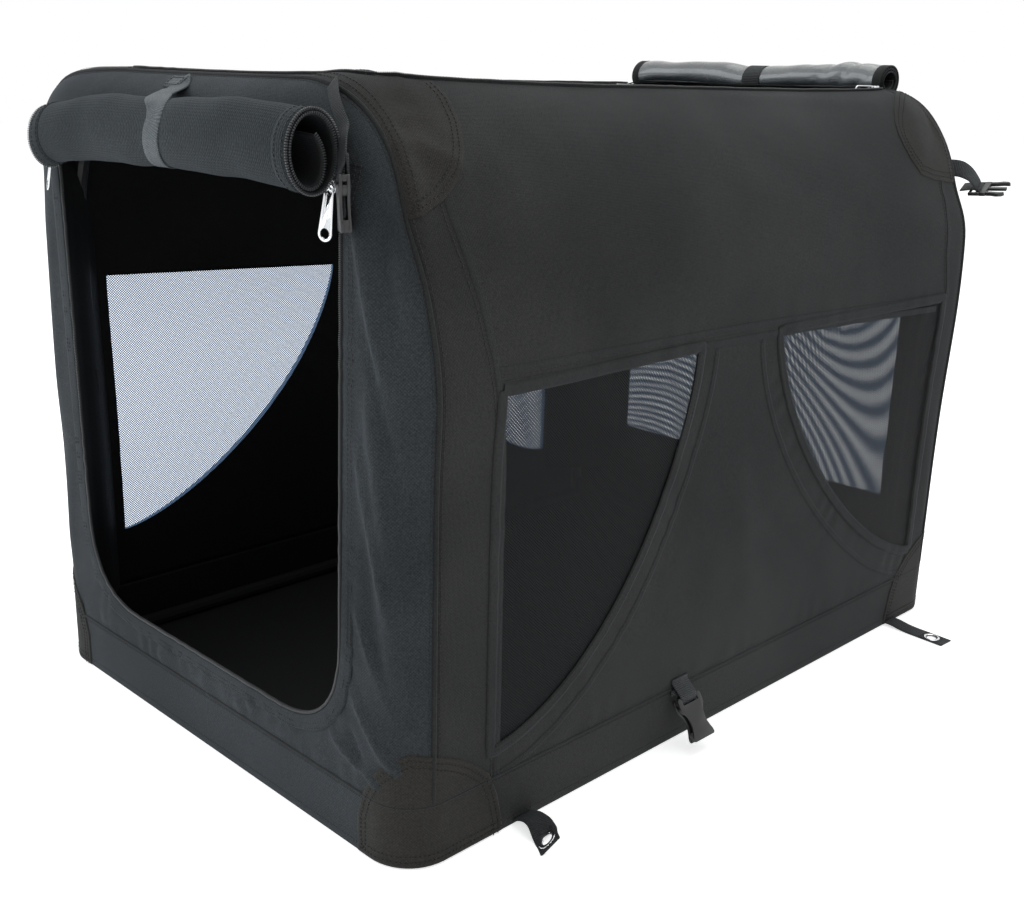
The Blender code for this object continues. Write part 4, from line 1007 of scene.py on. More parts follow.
def flat_cloth(low: Sequence[float], high: Sequence[float], step: float) -> bmesh.types.BMesh:
    """A flat grid of cloth between two corners.

    Args:
        low: Lower corner.
        high: Upper corner.
        step: Largest side of a cell.

    Returns:
        The bmesh.
    """
    size = (high[0] - low[0], high[1] - low[1])
    bm = bmesh.new()
    counts = [max(1, math.ceil(s / step)) for s in size]
    matrix = Matrix.Translation(((low[0] + high[0]) / 2, (low[1] + high[1]) / 2, 0))
    matrix = matrix @ Matrix.Diagonal((size[0], size[1], 1, 1))
    bmesh.ops.create_grid(bm, x_segments=counts[0], y_segments=counts[1], size=0.5, matrix=matrix)
    return bm


def bend_cloth(bm: bmesh.types.BMesh, place: Placer, lift: float = 0.0) -> float:
    """Writes the flat layout as the cloth coordinates, then bends the cloth to its place.

    Args:
        bm: Flat cloth.
        place: Maps cloth coordinates and height to a place.
        lift: Height over the surface.

    Returns:
        Flat area of the cloth.
    """
    layer = bm.loops.layers.uv.new("Cloth")
    for face in bm.faces:
        for loop in face.loops:
            loop[layer].uv = loop.vert.co.xy
    area = sum(f.calc_area() for f in bm.faces)
    flat = np.array([v.co for v in bm.verts])
    moved = place(flat[:, 0], flat[:, 1], np.full(len(flat), lift))
    above = place(flat[:, 0], flat[:, 1], np.full(len(flat), lift + 0.001))
    bm.verts.index_update()
    for vert, point in zip(bm.verts, moved):
        vert.co = point
    bm.normal_update()
    score = 0.0
    for face in list(bm.faces)[:: max(1, len(bm.faces) // 50)]:
        index = face.verts[0].index
        score += float(np.dot(face.normal, above[index] - moved[index]))
    if score < 0:
        bmesh.ops.reverse_faces(bm, faces=bm.faces)
    return area


def solidify(piece: bpy.types.Object, thickness: float, inner: int = 0) -> None:
    """Gives a sheet its thickness inward, with another material on the inner face if asked.

    Args:
        piece: Object of the sheet.
        thickness: Thickness of the cloth.
        inner: Steps from the material of the outer face to that of the inner one.
    """
    modifier = piece.modifiers.new("Thickness", "SOLIDIFY")
    modifier.thickness = thickness
    modifier.offset = -1.0
    modifier.material_offset = inner
    modifier.material_offset_rim = 0


def bent_grid(rows: int, columns: int, place: Bend, closed: bool = False) -> Shape:
    """A grid of rows by columns of vertices, moved to its place.

    Args:
        rows: Vertices along the first direction.
        columns: Vertices along the second direction.
        place: Maps row and column numbers to places and cloth coordinates.
        closed: Whether vertices that meet are joined and open ends filled.

    Returns:
        The bmesh.
    """
    bm = bmesh.new()
    bmesh.ops.create_grid(bm, x_segments=rows - 1, y_segments=columns - 1, size=0.5)
    grid = np.array([v.co for v in bm.verts])
    i = np.rint((grid[:, 0] + 0.5) * (rows - 1)).astype(int)
    j = np.rint((grid[:, 1] + 0.5) * (columns - 1)).astype(int)
    points, cloth = place(i, j)
    layer = bm.loops.layers.uv.new("Cloth")
    bm.verts.index_update()
    for face in bm.faces:
        for loop in face.loops:
            loop[layer].uv = cloth[loop.vert.index]
    for vert, point in zip(bm.verts, points):
        vert.co = point
    if closed:
        bmesh.ops.remove_doubles(bm, verts=bm.verts, dist=1e-6)
        bmesh.ops.holes_fill(bm, edges=[e for e in bm.edges if e.is_boundary], sides=0)
    bm.normal_update()
    return bm


def unit(rows: Array) -> Array:
    """Rows brought to a length of 1."""
    return rows / np.linalg.norm(rows, axis=-1, keepdims=True)


def distances(path: Array) -> Array:
    """Distance along a path at each of its points."""
    return np.concatenate([[0.0], np.cumsum(np.linalg.norm(np.diff(path, axis=0), axis=1))])


def path_frames(path: Array) -> tuple[Array, Array]:
    """Unit directions of a path and the distance along it.

    Args:
        path: Points of the path, one row each.

    Returns:
        One direction and one distance for each point.
    """
    ahead = np.roll(path, -1, axis=0) - path
    behind = path - np.roll(path, 1, axis=0)
    ahead[-1] = behind[-1]
    behind[0] = ahead[0]
    return unit(unit(ahead) + unit(behind)), distances(path)


def to_left(direction: Array) -> Array:
    """Directions on the cloth turned a quarter to the left."""
    return np.stack([-direction[:, 1], direction[:, 0]], -1)


def resample(path: Array, step: float) -> Array:
    """Points at even steps along a path of any dimension.

    Args:
        path: Points of the path, one row each.
        step: Distance between two new points.

    Returns:
        The new points, one row each.
    """
    path = np.asarray(path, float)
    run = distances(path)
    count = max(2, int(round(run[-1] / step)) + 1)
    at = np.linspace(0, run[-1], count)
    return np.stack([np.interp(at, run, path[:, k]) for k in range(path.shape[1])], -1)


def round_path(corners: Sequence[Sequence[float]], radius: float, steps: int = 6) -> Array:
    """A polyline with its inner corners rounded by a smooth curve.

    Args:
        corners: Points of the polyline, in a plane or in space.
        radius: Distance from a corner at which its curve starts.
        steps: Points of each curve.

    Returns:
        The rounded path.
    """
    points = [np.asarray(c, float) for c in corners]
    out = [points[0]]
    for before, corner, after in zip(points[:-2], points[1:-1], points[2:]):
        a, b = before - corner, after - corner
        reach = min(radius, 0.45 * np.linalg.norm(a), 0.45 * np.linalg.norm(b))
        a, b = corner + a / np.linalg.norm(a) * reach, corner + b / np.linalg.norm(b) * reach
        for t in np.linspace(0, 1, steps):
            out.append((1 - t) ** 2 * a + 2 * t * (1 - t) * corner + t**2 * b)
    out.append(points[-1])
    return np.array(out)


def soften(path: Array, passes: int) -> Array:
    """Rounds the corners of a path by averaging neighbours, with its ends kept.

    Args:
        path: Points of the path, one row each.
        passes: How many times it is averaged.

    Returns:
        The new points, one row each.
    """
    path = resample(path, 0.003)
    for _ in range(passes):
        path[1:-1] = (path[:-2] + 2 * path[1:-1] + path[2:]) / 4
    return path


def strip(placer: Placer, path: Array, profile: Sequence[Pair], ends: bool = True) -> Shape:
    """Sweeps a small cross-section along a line drawn on the cloth.

    Args:
        placer: Maps cloth coordinates and height to a place.
        path: Line in cloth coordinates.
        profile: Offsets to the left of the line and heights over the cloth.
        ends: Whether the height drops to nothing at both ends.

    Returns:
        The bmesh.
    """
    direction, run = path_frames(path)
    left = to_left(direction)
    offsets, heights = np.array(profile).T
    taper = np.clip(np.minimum(run, run[-1] - run) / 0.002, 0.15, 1) if ends else np.ones(len(run))

    def place(i: Array, j: Array) -> tuple[Array, Array]:
        """Places and coordinates of the swept section."""
        p = path[i, 0] + left[i, 0] * offsets[j]
        q = path[i, 1] + left[i, 1] * offsets[j]
        return placer(p, q, heights[j] * taper[i]), np.stack([offsets[j], run[i]], -1)

    bm = bent_grid(len(path), len(profile), place)
    first, second = path[:1].T
    outward = placer(first, second, np.array([0.01]))[0] - placer(first, second, np.array([0.0]))[0]
    total = sum((f.normal for f in list(bm.faces)[: len(profile)]), Vector())
    if total.dot(Vector(outward)) < 0:
        bmesh.ops.reverse_faces(bm, faces=bm.faces)
    return bm


def join(target: Shape, *extras: Shape) -> Shape:
    """Adds other bmeshes to one, frees them and returns it.

    Args:
        target: Bmesh that takes them in.
        extras: Bmeshes that are added and freed.

    Returns:
        The target.
    """
    for extra in extras:
        mesh = to_mesh(extra, "join")
        target.from_mesh(mesh)
        bpy.data.meshes.remove(mesh)
    return target


def repeat(template: Shape, origins: Array, frames: Array) -> Shape:
    """Copies a small template to many places.

    Args:
        template: Shape near the origin, freed here.
        origins: One place for each copy.
        frames: One 3 by 3 matrix for each copy, with its axes as columns.

    Returns:
        The bmesh with all copies.
    """
    mesh = to_mesh(template, "template")
    corners = np.array([v.co for v in mesh.vertices])
    copies = np.einsum("nij,kj->nki", frames, corners) + origins[:, None, :]
    bm = bmesh.new()
    for copy in copies:
        mesh.vertices.foreach_set("co", copy.ravel())
        mesh.update()
        bm.from_mesh(mesh)
    bpy.data.meshes.remove(mesh)
    return bm


def on_cloth(
    placer: Placer, path: Array, spacing: float, lift: float, offset: float = 0.0
) -> tuple[Array, Array]:
    """Origins and frames at even steps along a line drawn on the cloth.

    Args:
        placer: Maps cloth coordinates and height to a place.
        path: Line in cloth coordinates.
        spacing: Distance between the steps.
        lift: Height over the cloth.
        offset: Distance to the left of the line.

    Returns:
        Origins, and frames whose columns are along, across and up.
    """
    line = resample(path + to_left(path_frames(path)[0]) * offset, spacing)
    direction = path_frames(line)[0]
    left = to_left(direction)
    level = np.full(len(line), lift)

    def at(step: Array, height: Array) -> Array:
        """Places of the line moved by a step on the cloth."""
        return placer(line[:, 0] + step[:, 0] * 1e-3, line[:, 1] + step[:, 1] * 1e-3, height)

    origin = at(0 * line, level)
    outward = at(0 * line, level + 1e-3) - origin
    along = unit(at(direction, level) - origin)
    up = unit(np.cross(along, at(left, level) - origin))
    up *= np.sign(np.sum(up * outward, axis=1, keepdims=True))
    return origin, np.stack([along, np.cross(up, along), up], -1)


def crosswise(frames: Array) -> Array:
    """Frames with their first two axes swapped."""
    return frames[:, :, [1, 0, 2]]


def dash(length: float, width: float, height: float) -> Shape:
    """A small rounded bar for stitches and zip teeth.

    Args:
        length: Size along X.
        width: Size along Y.
        height: Size along Z.

    Returns:
        The bmesh.
    """
    bm = bmesh.new()
    bmesh.ops.create_cube(bm, size=1.0, matrix=Matrix.Diagonal((length, width, height, 1)))
    for vert in bm.verts:
        if vert.co.z > 0:
            vert.co.x *= 0.55
            vert.co.y *= 0.6
    return bm


@dataclass(frozen=True)
class Stitch:
    """Size of one stitch and the distance to the next."""

    length: float = 0.0026
    width: float = 0.0007
    height: float = 0.0005
    spacing: float = 0.0042

    def sew(self, placer: Placer, path: Array, lift: float, offset: float = 0.0) -> Shape:
        """A row of stitches beside a line drawn on the cloth.

        Args:
            placer: Maps cloth coordinates and height to a place.
            path: Line in cloth coordinates.
            lift: Height over the cloth.
            offset: Distance to the left of the line.

        Returns:
            The bmesh.
        """
        return self.row(*on_cloth(placer, path, self.spacing, lift, offset))

    def row(self, origins: Array, frames: Array) -> Shape:
        """Stitches at given places."""
        return repeat(dash(self.length, self.width, self.height), origins, frames)


SEAM_STITCH = Stitch()


def tube(path: Array, radius: float, sides: int) -> Shape:
    """A round rod along a path in space.

    Args:
        path: Points in space.
        radius: Radius of the rod.
        sides: Sides of the section.

    Returns:
        The bmesh.
    """
    path = np.asarray(path, float)
    direction, run = path_frames(path)
    normal = np.cross(direction[0], (0.0, 0.0, 1.0))
    if np.linalg.norm(normal) < 1e-3:
        normal = np.cross(direction[0], (0.0, 1.0, 0.0))
    normals = []
    for d in direction:
        normal = unit(normal - d * np.dot(normal, d))
        normals.append(normal)
    normals = np.array(normals)
    others = np.cross(direction, normals)

    def place(i: Array, j: Array) -> tuple[Array, Array]:
        """Places and coordinates of the round section."""
        angle = 2 * math.pi * j / sides
        round_part = normals[i] * np.cos(angle)[:, None] + others[i] * np.sin(angle)[:, None]
        return path[i] + radius * round_part, np.stack([radius * angle, run[i]], -1)

    bm = bent_grid(len(path), sides + 1, place, closed=True)
    bmesh.ops.recalc_face_normals(bm, faces=bm.faces)
    return bm


def ribbon(path: Array, across: Array, width: float, thickness: float) -> Shape:
    """A flat band with rounded edges along a path in space.

    Args:
        path: Points of its middle line.
        across: Unit direction over the width at each point, or one for all.
        width: Width of the band.
        thickness: Thickness of the band.

    Returns:
        The bmesh.
    """
    direction, run = path_frames(path)
    across = np.broadcast_to(across, path.shape)
    across = unit(across - direction * np.sum(across * direction, axis=1, keepdims=True))
    up = np.cross(direction, across)
    half, thin = width / 2, thickness / 2
    section = [(-half, 0), (-half + thin, thin), (-half * 0.5, thin), (0, thin), (half * 0.5, thin)]
    section += [(half - thin, thin), (half, 0), (half - thin, -thin), (0, -thin)]
    section += [(-half + thin, -thin), (-half, 0)]
    a, b = np.array(section).T

    def place(i: Array, j: Array) -> tuple[Array, Array]:
        """Places and coordinates of the flat section."""
        return path[i] + across[i] * a[j][:, None] + up[i] * b[j][:, None], np.stack([a[j], run[i]], -1)

    bm = bent_grid(len(path), len(section), place, closed=True)
    bmesh.ops.recalc_face_normals(bm, faces=bm.faces)
    return bm


# Cover layout


LINE_STEP = 0.008


def counter_clockwise(outline: Array) -> Array:
    """The outline turned so that it runs counter-clockwise."""
    ahead = np.roll(outline, -1, axis=0)
    area = np.sum(outline[:, 0] * ahead[:, 1] - ahead[:, 0] * outline[:, 1])
    return outline if area > 0 else outline[::-1]


def closed_line(outline: Array, step: float = LINE_STEP) -> Array:
    """An outline as a line that ends where it starts, with spans no longer than a step."""
    return densify(np.concatenate([outline, outline[:1]]), step)


def on_wall(path: Array, near: bool) -> Array:
    """A line drawn on the near wall, or the same line on the far wall."""
    return path if near else path * (-1, 1) + (SIZE.girth, 0)


@dataclass(frozen=True)
class WindowPlan:
    """One side window: its wall, square corner, way along u, lengths and the fullness of its curve."""

    name: str
    near: bool
    corner_u: float
    way: int
    width: float
    height: float
    power: float

    def _curve(self, corner: Pair, spread: float, count: int) -> Array:
        """The curved edge opposite a corner, on a window made longer and higher by a spread.

        Args:
            corner: The square corner.
            spread: Distance outside the edge.
            count: How many points.

        Returns:
            The points, one row each.
        """
        angle = np.radians(np.linspace(0, 90, count))
        reach = (self.width + spread) * np.cos(angle) ** (2 / self.power)
        drop = (self.height + spread) * np.sin(angle) ** (2 / self.power)
        return np.stack([corner[0] - drop, corner[1] + self.way * reach], -1)

    def outline(self, spread: float = 0.0) -> Array:
        """Outline on the cover, counter-clockwise, grown by a spread."""
        corner = (SIZE.window_top + spread, self.corner_u - self.way * spread)
        flat = counter_clockwise(np.concatenate([[corner], self._curve(corner, 2 * spread, 33)]))
        return flat if self.near else on_wall(flat, self.near)[::-1]

    def curved(self, spread: float = 0.0) -> Array:
        """The curved edge alone, from the top line to the upright side."""
        return on_wall(self._curve((SIZE.window_top, self.corner_u), spread, 41), self.near)


LOW_CURVE = (0.261, 0.321, 1.72)
LONG_CURVE = (0.326, 0.314, 1.45)
WINDOWS = (
    WindowPlan("front_window_right", True, 0.105, 1, *LOW_CURVE),
    WindowPlan("rear_window_right", True, 0.837, -1, *LONG_CURVE),
    WindowPlan("front_window_left", False, 0.084, 1, 0.319, 0.304, 1.45),
    WindowPlan("rear_window_left", False, 0.809, -1, *LOW_CURVE),
)


DOOR_FOOT = 0.100
DOOR_TOP = 0.598
DOOR_HALF = 0.222
DOOR_FLARE = 0.012
DOOR_CORNER = 0.095


def door_side_x(z: float) -> float:
    """Half width of the door opening at a height."""
    return DOOR_HALF + DOOR_FLARE * (z - DOOR_FOOT) / (DOOR_TOP - DOOR_FOOT)


def door_curve(spread: float, top: float = DOOR_TOP) -> Array:
    """Edge of the door opening from the near top down, along the sill and up the far side."""
    foot = DOOR_FOOT - spread
    near = [(door_side_x(z) + spread, z) for z in (top, foot)]
    return round_path(near + [(-x, z) for x, z in reversed(near)], DOOR_CORNER + spread, 14)


def densify(path: Array, step: float = LINE_STEP) -> Array:
    """Adds points so that no span is longer than a step.

    Args:
        path: Points of the path, one row each.
        step: Longest span.

    Returns:
        The points, one row each.
    """
    out = [path[0]]
    for a, b in zip(path[:-1], path[1:]):
        count = max(1, math.ceil(float(np.hypot(*(b - a))) / step))
        out.extend(a + (b - a) * k / count for k in range(1, count + 1))
    return np.array(out)


def end_outline(spread: float, foot: float) -> Array:
    """Outline of an end panel in (x, z), counter-clockwise from the near foot.

    Args:
        spread: Distance outside its seam.
        foot: Height of its lower edge.

    Returns:
        The points, one row each.
    """
    half = SIZE.half_width - SIZE.corner + SIZE.fold_reach + spread
    radius = half - SIZE.shoulder_x
    angle = np.radians(np.linspace(0, 90, 25))
    right = np.stack([SIZE.shoulder_x + radius * np.cos(angle), SIZE.shoulder_z + radius * np.sin(angle)], -1)
    left = right[::-1] * (-1, 1)
    return np.concatenate([[(half, foot)], right, left, [(-half, foot)]])


def sleeve_edge(wide: float, near: bool, front: bool) -> Array:
    """Inner seam of a frame sleeve from the band up to the roof edge, on the cover.

    Args:
        wide: Distance of its foot from the front.
        near: Whether it is on the near side.
        front: Whether it is at the front.

    Returns:
        The points, one row each.
    """
    points = [(SIZE.band, wide), (0.36, wide - 0.001), (0.424, wide - 0.013), (0.481, 0.080), (0.545, 0.068)]
    points += [(0.64, 0.066), (SIZE.shoulder_z + SIZE.arc + 0.06, 0.066)]
    path = round_path(points, 0.05, 6)
    if not front:
        path[:, 1] = SIZE.length - path[:, 1]
    if not near:
        path[:, 0] = SIZE.girth - path[:, 0]
    return path


SIDE = SideSurface()
FRONT = EndSurface(End.FRONT)
REAR = EndSurface(End.REAR)
BAND = BandSurface()


def seam_line(q: float) -> Array:
    """A line round the cover at one distance u."""
    return np.array([(SIZE.band, q), (SIZE.girth - SIZE.band, q)])


SIDE_FOLDS = (
    (0.47, 0.10, 0.30, 0.33, 0.020, 0.0012), (0.36, 0.40, 0.13, 0.30, 0.018, -0.0010),
    (0.33, 0.44, 0.10, 0.50, 0.022, 0.0012), (0.25, 0.47, 0.09, 0.66, 0.020, -0.0012),
    (0.68, 0.10, 0.50, 0.06, 0.014, 0.0018), (0.64, 0.04, 0.60, 0.10, 0.008, 0.0022),
    (0.66, 0.05, 0.575, 0.065, 0.007, -0.0016), (0.60, 0.42, 0.50, 0.62, 0.030, 0.0016),
    (0.50, 0.45, 0.44, 0.75, 0.016, 0.0010), (0.71, 0.15, 0.67, 0.84, 0.012, 0.0016),
    (0.72, 0.86, 0.56, 0.80, 0.020, 0.0024), (0.70, 0.90, 0.60, 0.85, 0.009, -0.0018),
    (0.66, 0.885, 0.59, 0.875, 0.008, 0.0020), (0.30, 0.855, 0.10, 0.875, 0.014, 0.0018),
)
FRONT_FOLDS = (
    (0.245, 0.585, 0.285, 0.42, 0.0075, 0.0065), (0.270, 0.575, 0.300, 0.45, 0.0054, -0.0039),
    (0.262, 0.44, 0.290, 0.26, 0.0088, 0.0052), (0.250, 0.33, 0.285, 0.12, 0.0082, -0.0039),
    (0.235, 0.16, 0.300, 0.085, 0.0061, 0.0057), (0.200, 0.105, 0.285, 0.072, 0.0048, 0.0047),
    (0.252, 0.50, 0.296, 0.34, 0.0048, -0.0034), (0.243, 0.40, 0.292, 0.20, 0.0054, 0.0042),
    (0.240, 0.25, 0.293, 0.13, 0.0048, 0.0039), (0.228, 0.125, 0.264, 0.066, 0.0041, -0.0036),
    (0.10, 0.090, 0.04, 0.064, 0.0070, 0.0026), (0.16, 0.090, 0.12, 0.064, 0.0060, 0.0026),
    (0.02, 0.092, -0.02, 0.064, 0.0060, 0.0022), (0.065, 0.088, 0.08, 0.066, 0.0050, -0.0018),
    (-0.05, 0.090, -0.10, 0.066, 0.0070, 0.0022), (-0.16, 0.095, -0.22, 0.070, 0.0090, 0.0026),
    (-0.262, 0.55, -0.290, 0.25, 0.0120, 0.0020), (-0.250, 0.30, -0.285, 0.10, 0.0120, 0.0018),
    (-0.10, 0.64, 0.12, 0.635, 0.0120, 0.0014),
)
REAR_FOLDS = (
    (0.24, 0.60, 0.29, 0.44, 0.013, 0.0028), (-0.24, 0.60, -0.29, 0.42, 0.013, 0.0028),
    (-0.18, 0.56, 0.15, 0.53, 0.018, 0.0020), (0.26, 0.40, 0.29, 0.14, 0.014, 0.0018),
    (-0.27, 0.36, -0.24, 0.12, 0.014, 0.0018),
)
END_FOOT = np.array([(0.30, SIZE.band), (-0.30, SIZE.band)])
WALL_LAPS = np.array([
    [(0.4270, 0.094), (0.4210, 0.46), (0.4105, 0.829)],
    [(0.4390, 0.090), (0.4330, 0.46), (0.423, 0.832)],
])
WALL_HEM = np.array([(0.424, 0.09), (0.420, 0.46), (0.411, 0.83)])
WALL_FOOT = np.array([(SIZE.band, 0.04), (SIZE.band, 0.87)])
FOUR_CORNERS = tuple((front, near) for front in (True, False) for near in (True, False))


def corner_sleeve(front: bool, near: bool) -> Array:
    """Inner seam of the sleeve at one corner."""
    return sleeve_edge(0.105 if near == front else 0.077, near, front)


def lay_wrinkles() -> None:
    """Puts the folds and puckers that the photo shows on the three surfaces."""
    for plan in WINDOWS:
        SIDE.puckers.append(Pucker(plan.curved(0.020), 0.0007, 0.031, 0.016, 1.3 + plan.corner_u))
    for front, near in FOUR_CORNERS:
        seed = 0.7 + 2 * near + front
        SIDE.puckers.append(Pucker(corner_sleeve(front, near), 0.0006, 0.034, 0.012, seed))
    for near in (True, False):
        for path, height, pitch in ((WALL_HEM, 0.0006, 0.045), (WALL_FOOT, 0.0009, 0.037)):
            SIDE.puckers.append(Pucker(on_wall(path, near), height, pitch, 0.018, 0.4 + near))
    FRONT.puckers += [
        Pucker(door_curve(0.014), 0.0010, 0.026, 0.013, 0.9),
        Pucker(END_FOOT, 0.0017, 0.027, 0.017, 2.1),
        Pucker(end_outline(0.0, SIZE.band), 0.0006, 0.041, 0.014, 1.1),
    ]
    REAR.puckers += [
        Pucker(END_FOOT, 0.0009, 0.035, 0.016, 1.9),
        Pucker(end_outline(0.0, SIZE.band), 0.0007, 0.043, 0.014, 0.2),
    ]
    for surface, rows in ((SIDE, SIDE_FOLDS), (FRONT, FRONT_FOLDS), (REAR, REAR_FOLDS)):
        surface.folds += [Fold(row[:2], row[2:4], *row[4:]) for row in rows]


def cloth_piece(
    name: str, bm: Shape, surface: Surface, cloth: Cloth, nodes: Sequence[str], lift: float = 0.0
) -> None:
    """Bends flat cloth onto a surface and makes it a piece of the cover.

    Args:
        name: Name of the object.
        bm: Flat cloth, already cut.
        surface: Surface that it lies on.
        cloth: Finish, lining and thickness.
        nodes: CAD nodes that it stands for.
        lift: Height over the surface.
    """
    area = bend_cloth(bm, surface.place, lift)
    finishes = [cloth.finish] + ([cloth.lining] if cloth.lining else [])
    piece = finish_piece(bm, name, finishes, Body.BASE)
    if cloth.thickness > 0:
        solidify(piece, cloth.thickness, len(finishes) - 1)
    attach(piece)
    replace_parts(piece, *nodes)


def seam_piece(
    name: str, parts: Sequence[Shape], finish: Finish, body: Body = Body.BASE, soft: bool = True
) -> bpy.types.Object:
    """Joins small sewn parts into one object that rides with the cover.

    Args:
        name: Name of the object.
        parts: Shapes to join, freed here.
        finish: Finish of all of them.
        body: Body that carries the object.
        soft: Whether the object is marked soft.

    Returns:
        The new object.
    """
    piece = finish_piece(join(bmesh.new(), *parts), name, [finish], body, soft)
    attach(piece)
    return piece


FOLDED_HEM = (
    (-0.0060, 0.0002), (-0.0056, 0.0011), (-0.0030, 0.0014), (0.0, 0.0013), (0.0030, 0.0014),
    (0.0056, 0.0011), (0.0060, 0.0002),
)
RIDGE = (
    (-0.0022, 0.0), (-0.0017, 0.0013), (-0.0006, 0.0021), (0.0006, 0.0021), (0.0017, 0.0013), (0.0022, 0.0),
)
LAP = ((-0.0016, 0.0), (-0.0012, 0.0005), (0.0, 0.0007), (0.0016, 0.0006), (0.0060, 0.0003))
BAND_RIDGE = ((-0.0018, 0.0), (-0.0010, 0.0012), (0.0008, 0.0012), (0.0016, 0.0))
DOOR_HEM = (
    (-0.0003, -0.0006), (-0.0004, 0.0010), (0.0012, 0.0016), (0.0070, 0.0014), (0.0130, 0.0013),
    (0.0150, 0.0010), (0.0155, 0.0002),
)
BAND_SECTION = (
    (0.0004, -0.0035), (0.0, -0.0012), (0.0012, -0.0002), (0.004, 0.0), (0.016, 0.0), (0.030, 0.0),
    (0.045, 0.0), (0.056, 0.0), (0.0605, 0.0003),
)
PATCH_RIM = ((-0.0008, 0.0), (-0.0002, 0.0011), (0.0016, 0.0013), (0.0034, 0.0011))
FRONT_PATCH = np.array([
    (0.5666, 0.034), (0.5666, 0.046), (0.579, 0.067), (0.597, 0.085), (0.619, 0.100), (0.646, 0.112),
    (0.673, 0.117), (0.700, 0.112), (0.725, 0.100), (0.745, 0.080), (0.752, 0.060), (0.752, 0.034),
])
REAR_PATCH = np.array([
    (0.5570, 0.880), (0.5585, 0.8636), (0.5625, 0.8297), (0.5700, 0.8005), (0.5890, 0.7862),
    (0.6060, 0.7820), (0.6200, 0.7825), (0.6350, 0.7890), (0.6516, 0.8047), (0.6720, 0.8320),
    (0.6840, 0.8540), (0.6960, 0.8800),
])
FOOT_PATCH = np.array([
    (0.247, 0.002), (0.247, 0.039), (0.254, 0.062), (0.267, 0.085), (0.284, 0.103), (0.303, 0.112),
    (0.322, 0.108), (0.3427, 0.0995), (0.3657, 0.086), (0.3887, 0.066), (0.3987, 0.042), (0.4057, 0.012),
    (0.4057, 0.002),
])


def rectangle(low: Pair, high: Pair) -> Array:
    """Corners of a rectangle, counter-clockwise."""
    return np.array([low, (high[0], low[1]), high, (low[0], high[1])])


